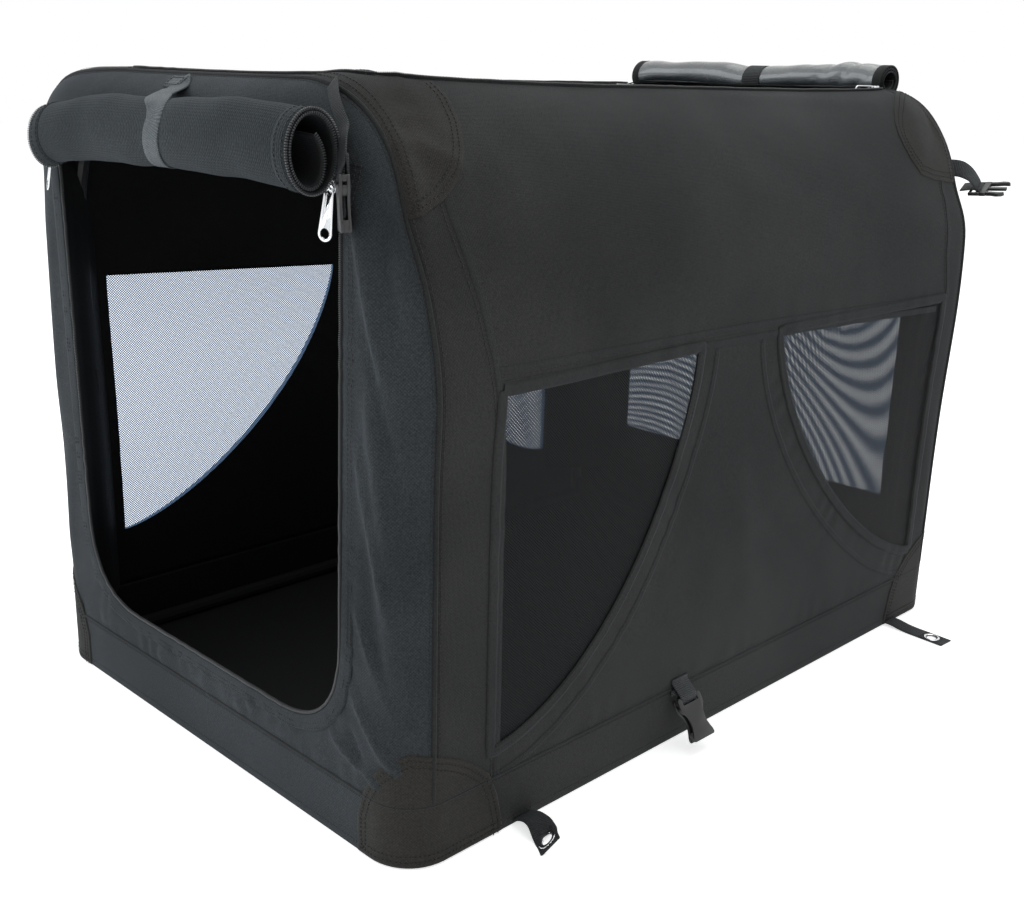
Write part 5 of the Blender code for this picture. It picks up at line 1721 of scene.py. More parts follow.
@dataclass(frozen=True)
class Cover:
    """The sewn cover: long sides with the roof, end walls, lower band, windows and hems."""

    thickness: float = 0.0014
    side_grid: float = 0.006
    end_grid: float = 0.0055
    knit_grid: float = 0.007
    knit_lift: float = -0.0009
    knit_spread: float = 0.0010
    hem_spread: float = 0.0062
    edging: float = 0.034
    band_top: float = 0.0602
    zip_hem: float = 0.0015

    def build(self) -> None:
        """Builds every panel of the cover."""
        lay_wrinkles()
        self.side_cover()
        # The front wall takes the lighter copy of the cloth, which is painted light; the rear wall takes the
        # plain cover cloth.
        self.end_wall(End.FRONT, door_curve(self.zip_hem), LIT_FRONT_CLOTH)
        self.end_wall(End.REAR, rectangle((-0.225, 0.131), (0.225, 0.480)), SIDE_CLOTH)
        self.lower_band()
        self.windows()
        self.hems()
        self.seams()
        self.patches()

    def side_cover(self) -> None:
        """One cloth over both long sides and the roof, with four windows and the roof opening cut out."""
        z = SIZE
        bm = flat_cloth((z.band, z.seam_u), (z.girth - z.band, z.length - z.seam_u), self.side_grid)
        for hole in [plan.outline() for plan in WINDOWS] + [self.roof_outline()]:
            split_flat(bm, hole, inside=False)
        nodes = ("side_wall_left", "side_wall_right", "front_sleeve", "rear_sleeve")
        cloth_piece("cover_sides", bm, SIDE, Cloth(SIDE_CLOTH, LINING, self.thickness), nodes)

    def roof_outline(self, spread: float = 0.0) -> Array:
        """Roof opening on the cover, counter-clockwise, with rounded front corners.

        Args:
            spread: Distance outside its edge.

        Returns:
            The points, one row each.
        """
        half = self.roof_half() + spread
        middle = SIZE.girth / 2
        front, rear, radius = 0.052 - spread, 0.869 + spread, 0.050 + spread
        low, high = middle - half, middle + half
        points = [(low, rear), (low, front), (high, front), (high, rear)]
        return counter_clockwise(round_path(points, radius, 8))

    def roof_half(self) -> float:
        """Half girth of cloth between the two long edges of the roof opening."""
        angle = math.acos((0.200 - SIZE.shoulder_x) / SIZE.roof_radius)
        return SIZE.shoulder_x + (math.pi / 2 - angle) * SIZE.roof_radius

    def end_wall(self, end: End, hole: Array, finish: ClothFinish) -> None:
        """An end wall with its turned edges and its opening cut out.

        Args:
            end: Which end it is.
            hole: Outline of the door opening or the rear window.
            finish: Finish of its outer face.
        """
        outline = end_outline(0.0, SIZE.band)
        bm = flat_cloth(outline.min(0), outline.max(0), self.end_grid)
        split_flat(bm, outline, inside=True)
        split_flat(bm, counter_clockwise(hole), inside=False)
        name = end.name.lower() + "_wall"
        surface = FRONT if end is End.FRONT else REAR
        cloth_piece(name + "_cloth", bm, surface, Cloth(finish, LINING, self.thickness), [name])

    def lower_band(self) -> None:
        """The rigid strip round the foot, with a turned lower edge and its front face in the lighter copy of
        the cloth, which is painted light.
        """
        path = np.stack([np.linspace(0, BAND.girth, 520), np.full(520, 0.0)], -1)
        bm = strip(BAND.place, path, BAND_SECTION, ends=False)
        bmesh.ops.remove_doubles(bm, verts=bm.verts, dist=1e-5)
        bm.normal_update()
        if max(bm.faces, key=lambda f: f.calc_center_median().x).normal.x < 0:
            bmesh.ops.reverse_faces(bm, faces=bm.faces)
        for face in bm.faces:
            # Faces at the front end take the lighter copy of the cloth: painted light.
            face.material_index = 2 * int(face.calc_center_median().y < 0.022 - SIZE.middle)
        finishes = [SIDE_CLOTH, LINING, LIT_FRONT_CLOTH, LINING]
        piece = finish_piece(bm, "band_cloth", finishes, Body.BASE, soft=False)
        solidify(piece, self.thickness, 1)
        attach(piece)
        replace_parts(piece, "lower_band")

    def windows(self) -> None:
        """Five windows of open knit."""
        rear = rectangle((-0.229, 0.127), (0.229, 0.484))
        panes = [(plan.name, plan.outline(self.knit_spread), SIDE) for plan in WINDOWS]
        for name, outline, surface in panes + [("rear_window", rear, REAR)]:
            bm = flat_cloth(outline.min(0), outline.max(0), self.knit_grid)
            if surface is SIDE:
                split_flat(bm, outline, inside=True)
            cloth_piece(name + "_knit", bm, surface, Cloth(KNIT), [name], self.knit_lift)

    def hems(self) -> None:
        """Folded hems round every opening of the cover."""
        parts = []
        for plan in WINDOWS:
            edge = closed_line(plan.outline(self.hem_spread))
            parts.append(strip(SIDE.place, edge, FOLDED_HEM, ends=False))
            parts.append(strip(SIDE.place, densify(plan.curved(self.edging)), LAP))
        for near in (True, False):
            parts += [strip(SIDE.place, densify(on_wall(lap, near)), LAP) for lap in WALL_LAPS]
        window = closed_line(rectangle((-0.231, 0.125), (0.231, 0.486)))
        parts.append(strip(REAR.place, window, FOLDED_HEM, ends=False))
        seam_piece("window_hems", parts, HEM_CLOTH)
        door = strip(FRONT.place, door_curve(self.zip_hem), DOOR_HEM)
        # The door hem is in the lighter copy of the cloth: painted light.
        seam_piece("door_hem", [door], LIT_FRONT_CLOTH)

    def seams(self) -> None:
        """Corner ridges, sleeve seams, band seams and every line of stitches."""
        ridges, threads = [], []

        def sew(surface: Surface, path: Array, offsets: Sequence[float], lift: float) -> None:
            """Adds rows of stitches beside a line."""
            threads.extend(SEAM_STITCH.sew(surface.place, path, lift, offset) for offset in offsets)

        for front, near in FOUR_CORNERS:
            if near:
                u = SIZE.seam_u + 0.0005
                line = densify(seam_line(u if front else SIZE.length - u))
                ridges.append(strip(SIDE.place, line, RIDGE))
                sew(SIDE, line, (0.0050 if front else -0.0050,), 0.0003)
            edge = densify(corner_sleeve(front, near))
            ridges.append(strip(SIDE.place, edge, LAP))
            sew(SIDE, edge, (-0.0045, 0.0035), 0.0005)
        for plan in WINDOWS:
            sew(SIDE, densify(plan.curved(0.003)), (0.0035, -0.0035), 0.0015)
            sew(SIDE, densify(plan.curved(self.edging)), (0.0040,), 0.0006)
        for near in (True, False):
            hem = on_wall(np.array([(0.4330, 0.092), (0.4270, 0.46), (0.417, 0.830)]), near)
            sew(SIDE, densify(hem), (0.0,), 0.0004)
        sew(FRONT, door_curve(self.zip_hem), (0.0085, 0.0132), 0.0014)
        for surface in (FRONT, REAR):
            sew(surface, densify(end_outline(-0.004, SIZE.band)), (0.0,), 0.0003)
        around = densify(np.array([(0.0, 0.0605), (BAND.girth, 0.0605)]))
        ridges.append(strip(BAND.place, around, BAND_RIDGE))
        sew(BAND, around, (-0.0045,), 0.0002)
        sew(BAND, around - (0.0, 0.052), (0.0,), 0.0002)
        seam_piece("seam_ridges", ridges, HEM_CLOTH)
        seam_piece("stitches", threads, THREAD)

    def patches(self) -> None:
        """Stronger patches on the four top corners and the four foot corners."""
        feet = [FOOT_PATCH * (way, 1) + (turn, 0) for turn in (0.0, BAND.girth / 2) for way in (1, -1)]
        low = [self._patch(BAND, outline, 0.0010, (-math.inf, self.band_top)) for outline in feet]
        high = [self._patch(BAND, outline, 0.0010, (self.band_top, math.inf)) for outline in feet]
        seam_piece("foot_patches_high", high, PATCH_CLOTH)
        seam_piece("foot_patches_low", low, PATCH_CLOTH, soft=False)
        hole = self.roof_outline(0.004)
        top = [
            self._patch(SIDE, on_wall(FRONT_PATCH if front else REAR_PATCH, near), 0.0012, hole=hole)
            for near in (True, False)
            for front in (True, False)
        ]
        seam_piece("top_patches", top, PATCH_CLOTH)

    def _patch(
        self, surface: Surface, outline: Array, lift: float, span: Pair = (-math.inf, math.inf),
        hole: Array | None = None,
    ) -> Shape:
        """One patch with a turned rim and two rows of stitches.

        Args:
            surface: Surface that it lies on.
            outline: Outline before any cut.
            lift: Height over the surface.
            span: Heights between which the patch is kept.
            hole: Opening that is cut out of it.

        Returns:
            The bmesh.
        """
        outline = counter_clockwise(outline)
        cloth = flat_cloth(outline.min(0), outline.max(0), 0.005)
        split_flat(cloth, outline, inside=True)
        trim = [f for f in cloth.faces if not span[0] <= f.calc_center_median().y <= span[1]]
        bmesh.ops.delete(cloth, geom=trim, context="FACES")
        if hole is not None:
            split_flat(cloth, hole, inside=False)
        bend_cloth(cloth, surface.place, lift)
        whole = join(bmesh.new(), cloth)
        for run in self._runs(closed_line(outline, 0.006), span, hole):
            rows = [SEAM_STITCH.sew(surface.place, run, lift + 0.0006, offset) for offset in (0.0048, 0.0105)]
            join(whole, strip(surface.place, run, PATCH_RIM, ends=False), *rows)
        return whole

    def _runs(self, edge: Array, span: Pair, hole: Array | None) -> list[Array]:
        """The stretches of an edge that are on the cloth kept.

        Args:
            edge: Closed edge of a patch.
            span: Heights between which the patch is kept.
            hole: Opening that is cut out of it, counter-clockwise.

        Returns:
            The stretches of more than two points.
        """
        keep = (edge[:, 1] >= span[0]) & (edge[:, 1] <= span[1])
        if hole is not None:
            step = np.roll(hole, -1, axis=0) - hole
            away = edge[:, None, :] - hole
            keep &= (step[:, 0] * away[:, :, 1] - step[:, 1] * away[:, :, 0]).min(1) < 0
        runs, run = [], []
        for point, good in zip([*edge, None], [*keep, False]):
            if good:
                run.append(point)
            elif run:
                runs.append(np.array(run))
                run = []
        return [r for r in runs if len(r) > 2]


# Rolls


@dataclass(frozen=True)
class RollSize:
    """Place and winding of one rolled-up flap; low and high are its ends along x."""

    low: float
    high: float
    low_u: float
    high_u: float
    low_z: float
    high_z: float
    depth: float
    height: float
    turns: float
    pitch: float
    start: float
    strap: float = 0.0
    pinch: float = 0.06
    flare: float = 0.0
    lumps: float = 0.0012
    taper: float = 0.0
    curl: float = 0.010
    press: float = 0.0
    gather: float = 0.0
    bow: float = 0.0


class Roll:
    """A flap of cloth wound up from its outer layer inward."""

    rows_per_turn = 44

    def __init__(self, size: RollSize) -> None:
        """Measures the winding along its middle.

        Args:
            size: Sizes of the roll.
        """
        self.size = size
        self.rows = int(size.turns * self.rows_per_turn) + 1
        middle = np.full(self.rows, 0.5 * (size.low + size.high))
        self.run = distances(self.point(middle, np.linspace(0, 1, self.rows), 0.0))

    def point(self, x: Array, share: Array, lift: float) -> Array:
        """Places on the outer face of the wound cloth.

        Args:
            x: Place along the roll.
            share: Share of the winding, 0 at the outer end.
            lift: Height over the cloth.

        Returns:
            One row of x, y, z for each point.
        """
        s = self.size
        along = (x - s.low) / (s.high - s.low)
        angle = math.radians(s.start) + 2 * math.pi * s.turns * share
        draw = s.pitch * s.turns * share + s.curl * smooth(share, 1 - 0.55 / s.turns, 1.0)
        pinch = 1 - s.pinch * np.exp(-(((x - s.strap) / 0.026) ** 2))
        near_flare, far_flare = smooth(along, 0.80, 1.0), 1 - smooth(along, 0.0, 0.15)
        pinch = pinch * (1 + s.flare * near_flare + 0.3 * s.flare * far_flare)
        wave = np.sin(31 * x + 2.0 * angle + 0.6) + 0.7 * np.sin(57 * x - 1.3 * angle + 1.9)
        wave = wave + 0.5 * np.sin(101 * x + 0.7 * angle)
        pinch = pinch * (1 - s.taper * (1 - smooth(along, 0.0, 0.6)))
        crease = np.abs(np.sin(98 * x + 1.1 * angle)) - 0.6
        crease = crease * np.exp(-(((along - 0.86) / 0.11) ** 2)) * smooth(1 - along, 0.0, 0.04)
        outward = lift - draw + (s.lumps * wave + s.gather * crease) * (1 - 0.7 * share)
        tall = s.height / 2 * pinch * (1 - s.press * smooth(along, 0.74, 1.0))
        reach = np.stack([0 * x, s.depth / 2 * pinch + outward, tall + outward], -1)
        turn = np.stack([0 * x, np.cos(angle), np.sin(angle)], -1)
        u = s.low_u + (s.high_u - s.low_u) * along
        z = s.low_z + (s.high_z - s.low_z) * along
        drift = 0.0015 * np.sin(2 * math.pi * along * 1.5)
        drift = drift + s.bow * np.sin(math.pi * np.clip(along, 0, 1) ** 0.8)
        centre = np.stack([x, u - SIZE.middle, z + drift], -1)
        return centre + reach * turn

    def _face_outward(self, bm: Shape, face: bmesh.types.BMFace) -> None:
        """Turns all faces so that one of them looks away from the middle line of the roll.

        Args:
            bm: Shape that is turned.
            face: The face that has to look away.
        """
        s = self.size
        middle = Vector((0, 0.5 * (s.low_u + s.high_u) - SIZE.middle, 0.5 * (s.low_z + s.high_z)))
        out = face.calc_center_median() - middle
        out.x = 0
        if face.normal.dot(out) < 0:
            bmesh.ops.reverse_faces(bm, faces=bm.faces)

    def cloth(self, node: str, finish: ClothFinish, slot: Slot, thickness: float, seat: str) -> None:
        """Args:
            node: CAD node that it stands for.
            finish: Finish of its outer face.
            slot: Material slot of the record; not used.
            thickness: Thickness of the cloth.
            seat: Node that it rests on; not used.
        """
        s = self.size
        columns = int((s.high - s.low) / 0.0045) + 1

        def place(i: Array, j: Array) -> tuple[Array, Array]:
            """Places and coordinates of the wound cloth."""
            x = s.low + (s.high - s.low) * j / (columns - 1)
            return self.point(x, i / (self.rows - 1), 0.0), np.stack([x, self.run[i]], -1)

        bm = bent_grid(self.rows, columns, place)
        probe = Vector(self.point(np.array([0.5 * (s.low + s.high)]), np.array([0.1]), 0.0)[0])
        self._face_outward(bm, min(bm.faces, key=lambda f: (f.calc_center_median() - probe).length))
        layer = bm.loops.layers.uv["Cloth"]
        # Inner windings take the dark cloth on their outer face too: painted shade between the windings.
        limit = self.run[int(0.47 * (self.rows - 1))]
        for face in bm.faces:
            face.material_index = int(min(loop[layer].uv.y for loop in face.loops) > limit)
        piece = finish_piece(bm, node + "_cloth", [finish, ROLL_BACK_AND_SHADE], Body.TOP)
        solidify(piece, thickness, 1)
        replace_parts(piece, node)
        attach(piece)

    def edge_path(
        self, x: float, low: float, high: float, lift: float, spacing: float
    ) -> tuple[Array, Array]:
        """Even steps along the wound edge at one end.

        Args:
            x: Place along the roll.
            low: Share of the winding where the steps start.
            high: Share of the winding where they end.
            lift: Height over the cloth.
            spacing: Distance between the steps.

        Returns:
            Origins, and frames with columns along x, along the winding and outward.
        """
        share = np.linspace(low, high, 400)
        line = resample(self.point(np.full(400, x), share, lift), spacing)
        tangent = path_frames(line)[0]
        axis = np.broadcast_to(np.array([1.0, 0.0, 0.0]), line.shape)
        return line, np.stack([axis, tangent, np.cross(axis, tangent)], -1)

    def tape(self, x: float, inner: float, high: float, lift: float) -> Shape:
        """A tape sewn on the outer face near one end.

        Args:
            x: Outer edge of the tape.
            inner: Inner edge of the tape.
            high: Share of the winding that it covers.
            lift: Thickness of the tape.

        Returns:
            The bmesh.
        """
        low_x, high_x = min(x, inner), max(x, inner)
        xs = np.array([low_x, low_x + 0.0006, 0.5 * (low_x + high_x), high_x - 0.0006, high_x])
        lifts = np.array([0.0, lift, lift, lift, 0.0])

        def place(i: Array, j: Array) -> tuple[Array, Array]:
            """Places and coordinates of the tape.

            Args:
                i: Rows of the grid.
                j: Columns of the grid.

            Returns:
                One place and one coordinate pair for each point.
            """
            share = i / (self.rows - 1)
            base = self.point(xs[j], share, 0.0)
            above = self.point(xs[j], share, 0.001)
            return base + (above - base) * (lifts[j] / 0.001)[:, None], np.stack([xs[j], self.run[i]], -1)

        bm = bent_grid(int(high * self.rows), len(xs), place)
        bm.faces.ensure_lookup_table()
        self._face_outward(bm, bm.faces[0])
        return bm

    def strap_path(self, points: Sequence[Pair], lift: float) -> Array:
        """Path of a strap over the outer layer from pairs of x and turn in degrees."""
        fine, grid = np.linspace(0, 1, 60), np.linspace(0, 1, len(points))
        x, degrees = (np.interp(fine, grid, values) for values in np.array(points, float).T)
        return self.point(x, degrees / (360 * self.size.turns), lift)


DOOR_ROLL = Roll(RollSize(
    low=-0.197, high=0.2320, low_u=-0.0255, high_u=-0.0262, low_z=0.5945, high_z=0.6065,
    depth=0.0475, height=0.0640, turns=2.15, pitch=0.0030, start=10.0, strap=0.020,
    pinch=0.06, flare=0.04, lumps=0.0007, taper=0.07, curl=0.012, bow=0.0105,
))
ROOF_ROLL = Roll(RollSize(
    low=-0.213, high=0.184, low_u=0.8880, high_u=0.8905, low_z=0.6675, high_z=0.6675,
    depth=0.0450, height=0.0405, turns=3.3, pitch=0.0034, start=-90.0, strap=-0.010,
    pinch=0.10, flare=0.07, lumps=0.0012, curl=0.004, press=0.02, gather=0.0030,
))


@dataclass(frozen=True)
class Webbing:
    """One strap: its CAD node, the node that it is sewn to, its sizes, its finish and its body."""

    node: str
    seat: str
    width: float
    thickness: float = 0.0016
    finish: ClothFinish = WEBBING
    body: Body = Body.TOP

    def build(self, path: Array, across: Array, swing: tuple[Body, Sequence, Sequence] | None = None) -> None:
        """Args:
            path: Middle line.
            across: Direction over the width, one for each point or for all.
            swing: Swinging body at its end, with the points where the bend starts and ends; only whether it
                is given is read, and a strap with one is baked in place and left unattached.
        """
        name = self.node.removesuffix("_loop") + "_webbing"
        shape = ribbon(path, across, self.width, self.thickness)
        piece = finish_piece(shape, name, [self.finish], self.body, soft=False)
        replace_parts(piece, self.node)
        if swing is None:
            attach(piece)
        else:
            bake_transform(piece)


def path_length(path: Array) -> float:
    """Length of a path."""
    return float(np.sum(np.linalg.norm(np.diff(path, axis=0), axis=1)))


@dataclass(frozen=True)
class Rolls:
    """The rolled-up door and roof flap with their zip edges and straps."""

    tape_width: float = 0.0200
    binding_width: float = 0.0110
    tooth: Stitch = Stitch(0.0022, 0.0011, 0.0024, 0.0020)
    edge_stitch: Stitch = Stitch(0.0026, 0.0008, 0.0006, 0.0040)
    patch_stitch: Stitch = Stitch(0.0024, 0.0008, 0.0005, 0.0034)
    patch_low: Pair = (-0.0390, 0.6480)
    patch_high: Pair = (-0.0150, 0.6615)

    def build(self) -> None:
        """Builds both rolls."""
        self.door()
        self.roof()
        self.door_strap()
        self.roof_strap()

    def ends(self, roll: Roll) -> tuple[Pair, Pair]:
        """Both ends of a roll, each with the way out along x."""
        return (roll.size.low, -1), (roll.size.high, 1)

    def door(self) -> None:
        """The door flap, wound outward, with zip teeth along both edges."""
        DOOR_ROLL.cloth("door_roll", ROLL_CLOTH, Slot.CLOTH, 0.0016, "front_wall")
        teeth, tapes, threads = [], [], []
        for x, way in self.ends(DOOR_ROLL):
            edge = DOOR_ROLL.edge_path(x + way * 0.0006, 0.01, 1.0, 0.0002, self.tooth.spacing)
            teeth.append(self.tooth.row(*edge))
            rope = DOOR_ROLL.edge_path(x - way * 0.0006, 0.01, 1.0, -0.0004, 0.0030)[0]
            tapes.append(tube(rope, 0.0011, 6))
            tapes.append(DOOR_ROLL.tape(x, x - way * self.tape_width, 0.95, 0.0006))
            for offset in (0.0060, 0.0160):
                spacing = self.edge_stitch.spacing
                line, frames = DOOR_ROLL.edge_path(x - way * offset, 0.01, 0.5, 0.0008, spacing)
                threads.append(self.edge_stitch.row(line, crosswise(frames)))
        seam_piece("door_roll_tape", tapes, ROLL_CLOTH, Body.TOP)
        seam_piece("door_roll_teeth", teeth, COIL, Body.TOP)
        seam_piece("door_roll_stitches", threads, THREAD, Body.TOP)

    def roof(self) -> None:
        """The roof flap of coated cloth, wound up on the rear edge of the roof."""
        ROOF_ROLL.cloth("roof_roll", COATED, Slot.COATED, 0.0012, "rear_sleeve")
        edges = []
        for x, way in self.ends(ROOF_ROLL):
            edges.append(tube(ROOF_ROLL.edge_path(x, 0.0, 1.0, -0.0004, 0.0030)[0], 0.0013, 6))
            edges.append(ROOF_ROLL.tape(x, x - way * self.binding_width, 0.9, 0.0005))
        seam_piece("roof_roll_binding", edges, HEM_CLOTH, Body.TOP)

    def door_strap(self) -> None:
        """The pale strap that holds the rolled door, hanging from a stitched patch on the roof edge."""
        start = FRONT.place([-0.0255, -0.0150], [0.6575, 0.6490], 0.0016)
        over = [(0.014, 84), (0.034, 110), (0.042, 145), (0.034, 182), (0.026, 225), (0.022, 262)]
        over.append((0.022, 285))
        end = FRONT.place([0.022, 0.022], [0.5900, 0.5850], 0.0014)
        path = np.concatenate([start, DOOR_ROLL.strap_path(over, 0.0014), end])
        strap = Webbing("door_strap", "door_roll", 0.0235, 0.0015, PALE_WEBBING)
        strap.build(resample(soften(path, 5), 0.0035), np.array([1.0, 0.0, 0.0]))
        patch = flat_cloth(self.patch_low, self.patch_high, 0.004)
        bend_cloth(patch, FRONT.place, 0.0028)
        rim = closed_line(rectangle(self.patch_low, self.patch_high), 0.004)
        section = ((-0.0008, 0.0), (-0.0003, 0.0028), (0.0012, 0.0031), (0.0020, 0.0028))
        join(patch, strip(FRONT.place, rim, section, ends=False))
        seam_piece("door_strap_patch", [patch], PALE_WEBBING, Body.TOP)
        centre = 0.5 * (np.array(self.patch_low) + self.patch_high)
        box = densify((rim - centre) * (0.82, 0.70) + centre, 0.004)
        stitches = self.patch_stitch.sew(FRONT.place, box, 0.0033)
        seam_piece("door_strap_stitches", [stitches], THREAD, Body.TOP)

    def roof_strap(self) -> None:
        """The strap that holds the rolled roof flap."""
        over = ROOF_ROLL.strap_path([(-0.010, 30), (-0.010, 160), (-0.010, 318)], 0.0013)
        strap = Webbing("roof_strap", "roof_roll", 0.028, 0.0015)
        strap.build(resample(soften(over, 3), 0.0035), np.array([1.0, 0.0, 0.0]))


# Zips


@dataclass(frozen=True)
class Zips:
    """Zip tapes and coils round the door and the roof opening."""

    door_tooth: Stitch = Stitch(0.0036, 0.0011, 0.0018, 0.0017)
    roof_tooth: Stitch = Stitch(0.0011, 0.0018, 0.0016, 0.0017)
    roof_end: float = 0.847

    def build(self) -> None:
        """Builds both zips."""
        self.door()
        self.roof()

    def door(self) -> None:
        """A coil along the edge of the door opening on a narrow tape."""
        path = densify(door_curve(0.0008, 0.594), 0.006)
        section = ((-0.0030, -0.0006), (-0.0028, 0.0006), (0.0006, 0.0008), (0.0010, -0.0004))
        seam_piece("door_zip_tape", [strip(FRONT.place, path, section)], HEM_CLOTH)
        origins, frames = on_cloth(FRONT.place, path, self.door_tooth.spacing, 0.0010, -0.0014)
        teeth = self.door_tooth.row(origins, crosswise(frames))
        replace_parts(seam_piece("door_zip_coil", [teeth], COIL), "door_zip")

    def roof(self) -> None:
        """The zip that stands up round the roof opening."""
        path = densify(Cover().roof_outline(-0.0012), 0.006)
        path = path[path[:, 1] < self.roof_end]

        def wavy(p: Array, q: Array, h: Array) -> Array:
            """Places on the roof edge with a height that waves along it."""
            rise = 1 + 0.07 * np.sin(61 * q + 2.0) + 0.04 * np.sin(147 * q)
            return SIDE.place(p, q, h * rise)

        half = ((-0.0007, -0.0010), (-0.0007, 0.0010), (-0.0006, 0.0020))
        wall = (*half, (0.0, 0.0024), *((-x, z) for x, z in reversed(half)))
        seam_piece("roof_zip_tape", [strip(wavy, path, wall)], HEM_CLOTH, Body.TOP)
        teeth = self.roof_tooth.sew(wavy, path, 0.0022)
        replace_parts(seam_piece("roof_zip_coil", [teeth], COIL, Body.TOP), "roof_zip")


# Straps and tabs


WRAP_RADIUS = 0.0033
UPRIGHT = np.array([0.0, 0.0, 1.0])
LENGTHWISE = np.array([0.0, 1.0, 0.0])


def wrap(bar: Array, first: Array, second: Array, low: float, high: float, count: int) -> list[Array]:
    """Points of webbing bent round a bar.

    Args:
        bar: Middle of the bar.
        first: Direction at an angle of 0 degrees.
        second: Direction at an angle of 90 degrees.
        low: First angle in degrees.
        high: Last angle in degrees.
        count: Number of points.

    Returns:
        The points.
    """
    turns = np.radians(np.linspace(low, high, count))
    return [bar + WRAP_RADIUS * (first * math.cos(a) + second * math.sin(a)) for a in turns]


@dataclass(frozen=True)
class Straps:
    """Webbing straps of the three buckles and the four ground tabs."""

    buckle_strap: float = 0.0205
    side_strap: float = 0.0260
    tab_width: float = 0.0245
    tab_thickness: float = 0.0017
    eyelet_bore: float = 0.0062
    eyelet_radius: float = 0.0080
    tab_stitch: Stitch = Stitch(0.0026, 0.0008, 0.0006, 0.0036)

    def build(self) -> None:
        """Builds every strap and tab."""
        self.front_strap()
        self.rear_strap()
        self.side_loop()
        for end, u in (("front", 0.140), ("rear", 0.813)):
            for side, sign in (("right", 1), ("left", -1)):
                self.tab(end, side, sign, u)

    def front_strap(self) -> None:
        """Webbing from the near front roof corner down the cloth to its buckle, with a folded tail."""
        m = SIZE.middle
        flat = [(0.1830, 0.6660), (0.1890, 0.6600), (0.1950, 0.6535), (0.2030, 0.6450), (0.2124, 0.6359)]
        lifts = [0.0014, 0.0014, 0.0014, 0.0016, 0.0022, 0.0030]
        on_front = FRONT.place(*np.array([*flat, (0.2230, 0.6250)]).T, lifts)
        bar, frame = FRONT_BUCKLE_PLACE.origin, FRONT_BUCKLE_PLACE.frame
        side, out = frame[:, 0], frame[:, 2]
        hang = [(0.2330, 0.0005 - m, 0.6155), (0.2415, -0.0055 - m, 0.6055), (0.2460, -0.0095 - m, 0.5970)]
        hang.append(bar + (0.0, -0.0036, 0.0030))
        path = resample(soften(np.concatenate([on_front, hang]), 4), 0.0025)
        count = len(path)
        tail = [bar - out * 0.0036 + (0.0, 0.0, 0.004), bar - out * 0.0030 + (0.0005, 0.0, 0.018)]
        path = np.concatenate([path, wrap(bar, out, UPRIGHT, 10, -190, 10), tail])
        share = np.clip(np.arange(len(path)) / (count - 1), 0, 1)[:, None] ** 3
        first = np.array([0.96, -0.16, 0.22])
        first *= np.sign(np.dot(first, side)) / np.linalg.norm(first)
        swing = (Body.FRONT_BUCKLE, tuple(on_front[-1]), tuple(bar))
        strap = Webbing("front_strap", "front_sleeve", self.buckle_strap)
        strap.build(path, (1 - share) * first + share * side, swing)

    def rear_strap(self) -> None:
        """Stiff webbing that curves out of the rear wall and twists down to its buckle."""
        m = SIZE.middle
        start = REAR.place([0.2440], [0.5640], [0.0010])[0]
        bar, frame = REAR_BUCKLE_PLACE.origin, REAR_BUCKLE_PLACE.frame
        side, ahead, up = -frame[:, 0], -frame[:, 1], frame[:, 2]
        points = [start, start + (0.004, 0.0035, 0.0008), (0.2606, 0.9230 - m, 0.5675)]
        points += [(0.2715, 0.9330 - m, 0.5670), (0.2800, 0.9430 - m, 0.5610), (0.2855, 0.9530 - m, 0.5505)]
        points.append(bar + ahead * 0.0010 + up * 0.0036)
        path = resample(soften(np.array(points), 4), 0.0025)
        count = len(path)
        reaches = ((0.006, 0.0042), (0.0140, 0.0030), (0.0210, 0.0022))
        tail = [bar - ahead * back - up * down for back, down in reaches]
        path = np.concatenate([path, wrap(bar, ahead, up, 60, -100, 8), tail])
        share = smooth(np.arange(len(path)) / (count - 1), 0.15, 0.95)[:, None]
        swing = (Body.REAR_BUCKLE, (0.252, 0.920 - m, 0.566), tuple(bar))
        strap = Webbing("rear_strap", "rear_wall", self.buckle_strap)
        strap.build(path, (1 - share) * UPRIGHT + share * side, swing)

    def side_loop(self) -> None:
        """Webbing loop of the low side buckle."""
        bar = SIDE_BUCKLE_PLACE.origin
        x, y, z = bar
        wall = SIZE.half_width + 0.0012
        down = [(wall, 0.002), (wall, 0.0085), (wall + 0.0020, 0.0098), (x - 0.0036, 0.005)]
        back = [(x + 0.0020, 0.0060), (wall + 0.0050, 0.0125), (wall, 0.0170), (wall, 0.0210)]
        before, after = ([(at, y, z + rise) for at, rise in points] for points in (down, back))
        path = before + wrap(bar, np.array([1.0, 0.0, 0.0]), UPRIGHT, 180, 380, 10) + after
        strap = Webbing("side_buckle_loop", "side_wall_right", self.side_strap, body=Body.BASE)
        strap.build(np.array(path), LENGTHWISE)

    def tab_line(self, end: str, side: str, sign: int, u: float) -> Array:
        """Middle line of one ground tab; the near front one is lifted and bent as in the photo.

        Args:
            end: "front" or "rear".
            side: "right" or "left".
            sign: 1 on the near side, -1 on the far side.
            u: Middle of the tab at the wall.

        Returns:
            The middle line from the wall outward.
        """
        edge = SIZE.half_width + 0.0003
        slant = 0.004 if (end, side) == ("rear", "right") else 0.016
        points = [(edge, u, 0.0036), (edge + 0.008, u, 0.0040), (edge + 0.022, u - slant * 0.27, 0.0019)]
        points += [(edge + 0.033, u - slant * 0.40, 0.0011), (edge + 0.082, u - slant, 0.0011)]
        if (end, side) == ("front", "right"):
            points = [(edge, 0.1427, 0.0045), (0.3220, 0.1425, 0.0098), (0.3350, 0.1400, 0.0110)]
            points += [(0.3470, 0.1345, 0.0080), (0.3560, 0.1285, 0.0068), (0.3660, 0.1220, 0.0080)]
        return resample(soften(np.array([(sign * x, q - SIZE.middle, h) for x, q, h in points]), 3), 0.003)

